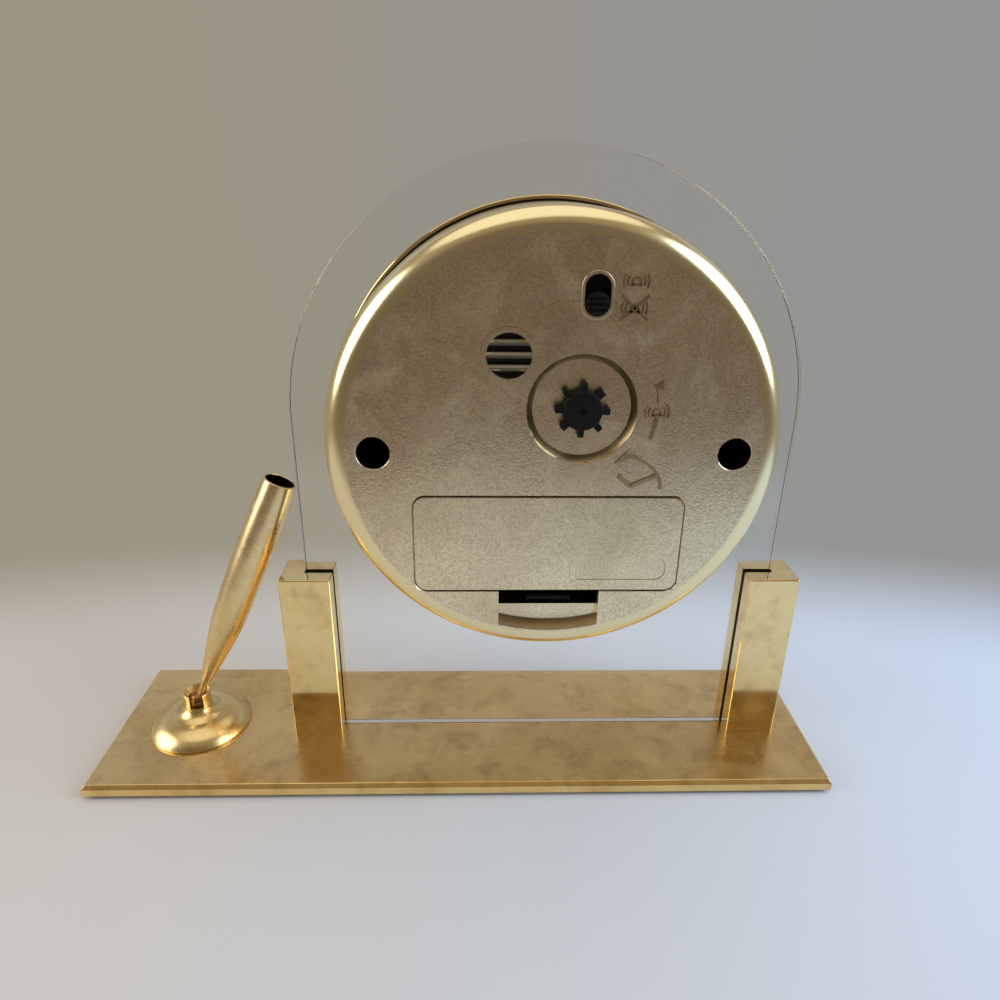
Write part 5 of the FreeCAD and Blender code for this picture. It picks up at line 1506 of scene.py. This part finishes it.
@dataclass
class PenHolder:
    """Round foot, slotted cap, ball and funnel."""

    bench: Bench
    rim: float = 13.4
    rim_height: float = 0.8
    dome: float = 7.6
    dome_height: float = 4.0
    neck: float = 3.7
    neck_height: float = 6.2
    stud: float = 2.5
    ball: float = 2.6
    ball_height: float = 7.2
    cap_base: float = 3.6
    cap_waist: float = 3.45
    cap_top: float = 3.7
    cap_height: float = 10.6
    cap_mouth: float = 3.1
    throat: float = 2.2
    slot_width: float = 3.5
    slot_floor: float = 6.6
    slot_heading: float = 103.4
    lean: float = 24.1
    heading: float = 192.5
    length: float = 69.7
    stem: float = 1.0
    stem_end: float = 5.5
    shoulder: float = 4.3
    shoulder_height: float = 26.0
    belly: float = 4.85
    mouth: float = 4.3
    bore: float = 3.75
    bore_floor: float = 31.7
    pocket_floor: float = 13.7
    seat_floor: float = 1.4
    stud_depth: float = 2.6
    steps: int = 96

    def build(self) -> None:
        """Make the holder from the foot up."""
        finishes = self.bench.finishes
        places = self.bench.places
        edge = (self.rim - 0.15, self.rim_height)
        crown = (self.dome, self.dome_height)
        on_dome = (0.6 * self.rim + 0.4 * self.dome, 0.34 * self.rim_height + 0.66 * self.dome_height)
        on_neck = (0.65 * self.neck + 0.35 * self.dome, 0.68 * self.dome_height + 0.32 * self.neck_height)
        sweep = arc_through(edge, on_dome, crown, 18)
        sweep += arc_through(crown, on_neck, (self.neck, self.neck_height), 14)[1:]
        socket = self.ball + 0.1
        outline = [(0, -self.stud_depth), (self.stud, -self.stud_depth), (self.stud, 0), (self.rim - 0.2, 0),
                   (self.rim, 0.2),
                   (self.rim, self.rim_height - 0.2), *sweep, (socket, self.neck_height),
                   (socket, self.seat_floor), (0, self.seat_floor)]
        shape = places.at_holder(turned(outline, self.steps, Axis.Z))
        self.bench.settle("holder_foot", shape, finishes.spun, replaces=("pen_socket",))
        self.cap(socket)
        shape = bmesh.new()
        bmesh.ops.create_uvsphere(shape, u_segments=48, v_segments=24, radius=self.ball)
        self.bench.settle("holder_ball", self.along(shape), finishes.copper, "funnel", ("funnel_ball",))
        self.funnel()
        self.bench.dress("ball_seat", finishes.black)
        self.bench.dress("seat_washer", finishes.steel)
        self.bench.dress("socket_nut", finishes.steel)

    def cap(self, socket: float) -> None:
        """Ring that keeps the ball in, open on one side."""
        centre = (0.0, self.ball_height)
        inner = arc(centre, socket, math.degrees(math.acos(self.throat / socket)), 0, 8)
        side = smooth_line([(self.cap_base, self.neck_height + 0.15), (self.cap_waist, 8.0),
                            (self.cap_top - 0.02, self.cap_height - 0.2)], 6)
        outline = [*side, (self.cap_top - 0.15, self.cap_height), (self.cap_mouth + 0.1, self.cap_height),
                   (self.cap_mouth, self.cap_height - 0.1), *inner, (socket, self.neck_height),
                   (self.cap_base - 0.15, self.neck_height)]
        shape = turned(outline, self.steps, Axis.Z, closed=True)
        half = self.slot_width / 2
        slot = block((0, -half, self.slot_floor), (10, half, self.cap_height + 1))
        shape = self.bench.places.at_holder(carved(shape, [swung(slot, about(Axis.Z, self.slot_heading))]))
        self.bench.settle("holder_cap", shape, self.bench.finishes.spun, replaces=("socket_cap",))

    @property
    def leaning(self) -> Matrix:
        """Turn from upright to the way that the funnel leans."""
        return about(Axis.Z, self.heading) @ about(Axis.Y, self.lean)

    def along(self, shape: bmesh.types.BMesh) -> bmesh.types.BMesh:
        """Lean a shape drawn upright about the ball's centre, and carry it there."""
        return self.bench.places.at_holder(moved(swung(shape, self.leaning), 0, 0, self.ball_height))

    def funnel(self) -> None:
        """Tapered tube with its bore."""
        waist = (self.stem, self.stem_end)
        shoulder = (self.shoulder, self.shoulder_height)
        on_stem = ((self.stem + self.shoulder) / 2 + 0.25, (self.stem_end + self.shoulder_height) / 2)
        outer = arc_through(waist, on_stem, shoulder, 20)
        outer += arc_through(shoulder, (self.belly, (self.shoulder_height + self.length) / 2),
                             (self.mouth, self.length - 0.15), 24)[1:]
        outline = [(0, self.seat_floor), (self.stem, self.seat_floor), *outer, (self.mouth - 0.12, self.length),
                   (self.bore + 0.1, self.length), (self.bore, self.length - 0.12),
                   (self.bore, self.bore_floor), (1.0, self.pocket_floor), (0, self.pocket_floor)]
        shape = self.along(turned(outline, self.steps, Axis.Z))
        upright = self.leaning.inverted()
        centre = Vector((self.bench.places.holder_x, 0, self.bench.places.base_top + self.ball_height))

        def in_bore(face: bmesh.types.BMFace) -> bool:
            local = upright @ (face.calc_center_median() - centre)
            outward = upright @ face.normal
            inside = outward.x * local.x + outward.y * local.y < 0
            return (inside or outward.z > 0.99) and 12 < local.z < self.length - 3

        # Painted shade: the bore is black.
        self.bench.settle("pen_tube", shape, self.bench.finishes.spun, "funnel", ("pen_funnel",),
                          others=[(self.bench.finishes.well, in_bore)])


@dataclass
class Movement:
    """Quartz movement inside the case."""

    bench: Bench

    def build(self) -> None:
        """Give each inner piece its finish."""
        finishes = self.bench.finishes
        dressing = {
            finishes.black: ("movement_housing", "train_plate", "movement_cover", "buzzer"),
            finishes.steel: ("movement_screws",),
            finishes.board: ("circuit_board",),
            finishes.wire: ("coil",),
            finishes.iron: ("stator", "rotor"),
            finishes.wheel: ("drive_wheel", "second_wheel", "third_wheel", "minute_wheel", "hour_wheel",
                             "alarm_wheel", "alarm_pinion", "date_wheel"),
            finishes.wheel_brass: ("centre_wheel", "cannon_pinion"),
        }
        for finish, nodes in dressing.items():
            for node in nodes:
                self.bench.dress(node, finish)


@dataclass
class Studio:
    """Floor, light and camera."""

    camera_place: tuple[float, float, float] = (-4.66, 169.66, 144.63)
    yaw: float = 1.686
    pitch: float = 23.098
    roll: float = 0.746
    lens: float = 26.54
    floor_size: float = 6.0
    floor_left: Colour = (0.655, 0.635, 0.625)
    # Painted light: blue tint of the cool window light on the floor's right side.
    floor_right: Colour = (0.66, 0.77, 0.98)
    pool_centre: float = 0.07
    pool_radius: float = 0.12
    pool_end: float = 0.205
    pool_squeeze: float = 0.45
    left_wall: Colour = (0.335, 0.298, 0.232)
    right_wall: Colour = (0.3, 0.303, 0.295)
    high_wall: Colour = (0.47, 0.48, 0.52)
    ceiling: Colour = (0.31, 0.255, 0.175)
    room_side: Colour = (0.165, 0.13, 0.1)

    def build(self) -> None:
        """Set up everything round the object."""
        bpy.context.scene.view_settings.view_transform = "Standard"
        self.floor()
        self.world()
        self.lamps()
        self.camera()

    def floor(self) -> None:
        """Pale floor that takes the lamps' light near the set, with the cool window light painted as a blue
        tint on its right; further out it glows in the room's colour instead of taking light, so that no edge
        shows against the world.
        """
        shape = bmesh.new()
        bmesh.ops.create_circle(shape, cap_ends=True, segments=96, radius=self.floor_size)
        mesh = bpy.data.meshes.new("floor")
        shape.to_mesh(mesh)
        shape.free()
        floor = bpy.data.objects.new("floor", mesh)
        bpy.context.scene.collection.objects.link(floor)
        material = bpy.data.materials.new("pale floor")
        material.use_nodes = True
        sheet = NodeSheet(material.node_tree)
        shader = material.node_tree.nodes["Principled BSDF"]
        shader.inputs["Roughness"].default_value = 0.9
        shader.inputs["Specular IOR Level"].default_value = 0.0
        shader.inputs["Emission Strength"].default_value = 1.0
        given = sheet.add("ShaderNodeTexCoord")
        about = sheet.add("ShaderNodeMapping")
        about.inputs["Location"].default_value = (0.0, -self.pool_centre, 0.0)
        about.inputs["Scale"].default_value = (self.pool_squeeze, 1.0, 1.0)
        sheet.link(given.outputs["Object"], about.inputs["Vector"])
        distance = sheet.add("ShaderNodeVectorMath", operation="LENGTH")
        sheet.link(about.outputs["Vector"], distance.inputs[0])
        # Painted light: beyond the pool the floor stops taking light and glows in the room's colour.
        far = sheet.ramp(distance.outputs["Value"], self.pool_radius, self.pool_end)
        room = sheet.add("ShaderNodeGroup", node_tree=self.room())
        sheet.link(given.outputs["Object"], room.inputs["Direction"])
        black = (0.0, 0.0, 0.0)
        split = sheet.add("ShaderNodeSeparateXYZ")
        sheet.link(given.outputs["Object"], split.inputs["Vector"])
        # Painted light: a blue tint of the window light towards the floor's right.
        near = sheet.mix(sheet.ramp(split.outputs["X"], -0.25, 0.15), self.floor_right, self.floor_left)
        sheet.link(sheet.mix(far, near, black), shader.inputs["Base Color"])
        sheet.link(sheet.mix(far, black, room.outputs["Colour"]), shader.inputs["Emission Color"])
        mesh.materials.append(material)

    def room(self) -> bpy.types.NodeTree:
        """Colour of the room in a direction, shared by the far floor and the world so that no edge shows."""
        known = bpy.data.node_groups.get("room")
        if known:
            return known
        group = bpy.data.node_groups.new("room", "ShaderNodeTree")
        group.interface.new_socket("Direction", in_out="INPUT", socket_type="NodeSocketVector")
        group.interface.new_socket("Colour", in_out="OUTPUT", socket_type="NodeSocketColor")
        sheet = NodeSheet(group)
        given = sheet.add("NodeGroupInput")
        out = sheet.add("NodeGroupOutput")
        unit = sheet.add("ShaderNodeVectorMath", operation="NORMALIZE")
        sheet.link(given.outputs["Direction"], unit.inputs[0])
        split = sheet.add("ShaderNodeSeparateXYZ")
        sheet.link(unit.outputs["Vector"], split.inputs["Vector"])
        wall = sheet.mix(sheet.ramp(split.outputs["X"], -0.5, 0.5), self.right_wall, self.left_wall)
        wall = sheet.mix(sheet.ramp(split.outputs["Z"], 0.22, 0.5), wall, self.high_wall)
        wall = sheet.mix(sheet.ramp(split.outputs["Y"], -0.1, 0.8), wall, self.room_side)
        overhead = sheet.ramp(split.outputs["Z"], 0.54, 0.72)
        sheet.link(sheet.mix(overhead, wall, self.ceiling), out.inputs["Colour"])
        return group

    def world(self) -> None:
        """Soft light from all round, which metal and glass show too."""
        world = bpy.data.worlds.new("soft room")
        bpy.context.scene.world = world
        world.use_nodes = True
        sheet = NodeSheet(world.node_tree)
        background = world.node_tree.nodes["Background"]
        given = sheet.add("ShaderNodeTexCoord")
        room = sheet.add("ShaderNodeGroup", node_tree=self.room())
        sheet.link(given.outputs["Generated"], room.inputs["Direction"])
        sheet.link(room.outputs["Colour"], background.inputs["Color"])
        background.inputs["Strength"].default_value = 1.0

    def lamps(self) -> None:
        """A ceiling, a cool window and a warm lamp."""
        self.lamp("overhead", (0.05, -0.1, 1.3), (1.7, 1.5), 4.7, (1.0, 0.96, 0.9))
        self.lamp("window", (-0.7, 0.16, 0.42), (0.7, 0.7), 5.0, (0.74, 0.88, 1.0))
        self.lamp("room", (0.7, 0.14, 0.36), (0.6, 0.6), 2.5, (1.0, 0.96, 0.89))

    @staticmethod
    def lamp(name: str, place: tuple[float, float, float], size: Point, power: float, colour: Colour) -> None:
        """Oval lamp that points at the clock."""
        light = bpy.data.lights.new(name, "AREA")
        light.shape = "ELLIPSE"
        light.size, light.size_y = size
        light.energy = power
        light.color = colour
        holder = bpy.data.objects.new(name, light)
        bpy.context.scene.collection.objects.link(holder)
        aim = Vector((0, 0, 0.07)) - Vector(place)
        holder.matrix_world = Matrix.Translation(place) @ aim.to_track_quat("-Z", "Y").to_matrix().to_4x4()

    def camera(self) -> None:
        """Camera at the photograph's place and angle."""
        yaw, pitch, roll = (math.radians(angle) for angle in (self.yaw, self.pitch, self.roll))
        level = Vector((-math.sin(yaw), -math.cos(yaw), 0))
        across = Vector((-math.cos(yaw), math.sin(yaw), 0))
        up = Vector((0, 0, 1))
        forward = math.cos(pitch) * level - math.sin(pitch) * up
        raised = math.sin(pitch) * level + math.cos(pitch) * up
        right = math.cos(roll) * across + math.sin(roll) * raised
        top = -math.sin(roll) * across + math.cos(roll) * raised
        data = bpy.data.cameras.new("camera")
        data.lens = self.lens
        data.sensor_width = 36.0
        data.clip_start = 0.01
        camera = bpy.data.objects.new("camera", data)
        bpy.context.scene.collection.objects.link(camera)
        turn = Matrix((right, top, -forward)).transposed().to_4x4()
        camera.matrix_world = Matrix.Translation(Vector(self.camera_place) * MM) @ turn
        bpy.context.scene.camera = camera


def main() -> None:
    """Build the set piece by piece."""
    logging.basicConfig(level=logging.INFO, format="%(message)s")
    places = Places.read()
    bench = Bench(places, Finishes(places))
    for assembly in (Base(bench), ClearPlate(bench), BackCase(bench), Front(bench), PenHolder(bench),
                     Movement(bench)):
        LOG.info("building %s", type(assembly).__name__)
        assembly.build()
    Studio().build()


if __name__ == "__main__":
    main()
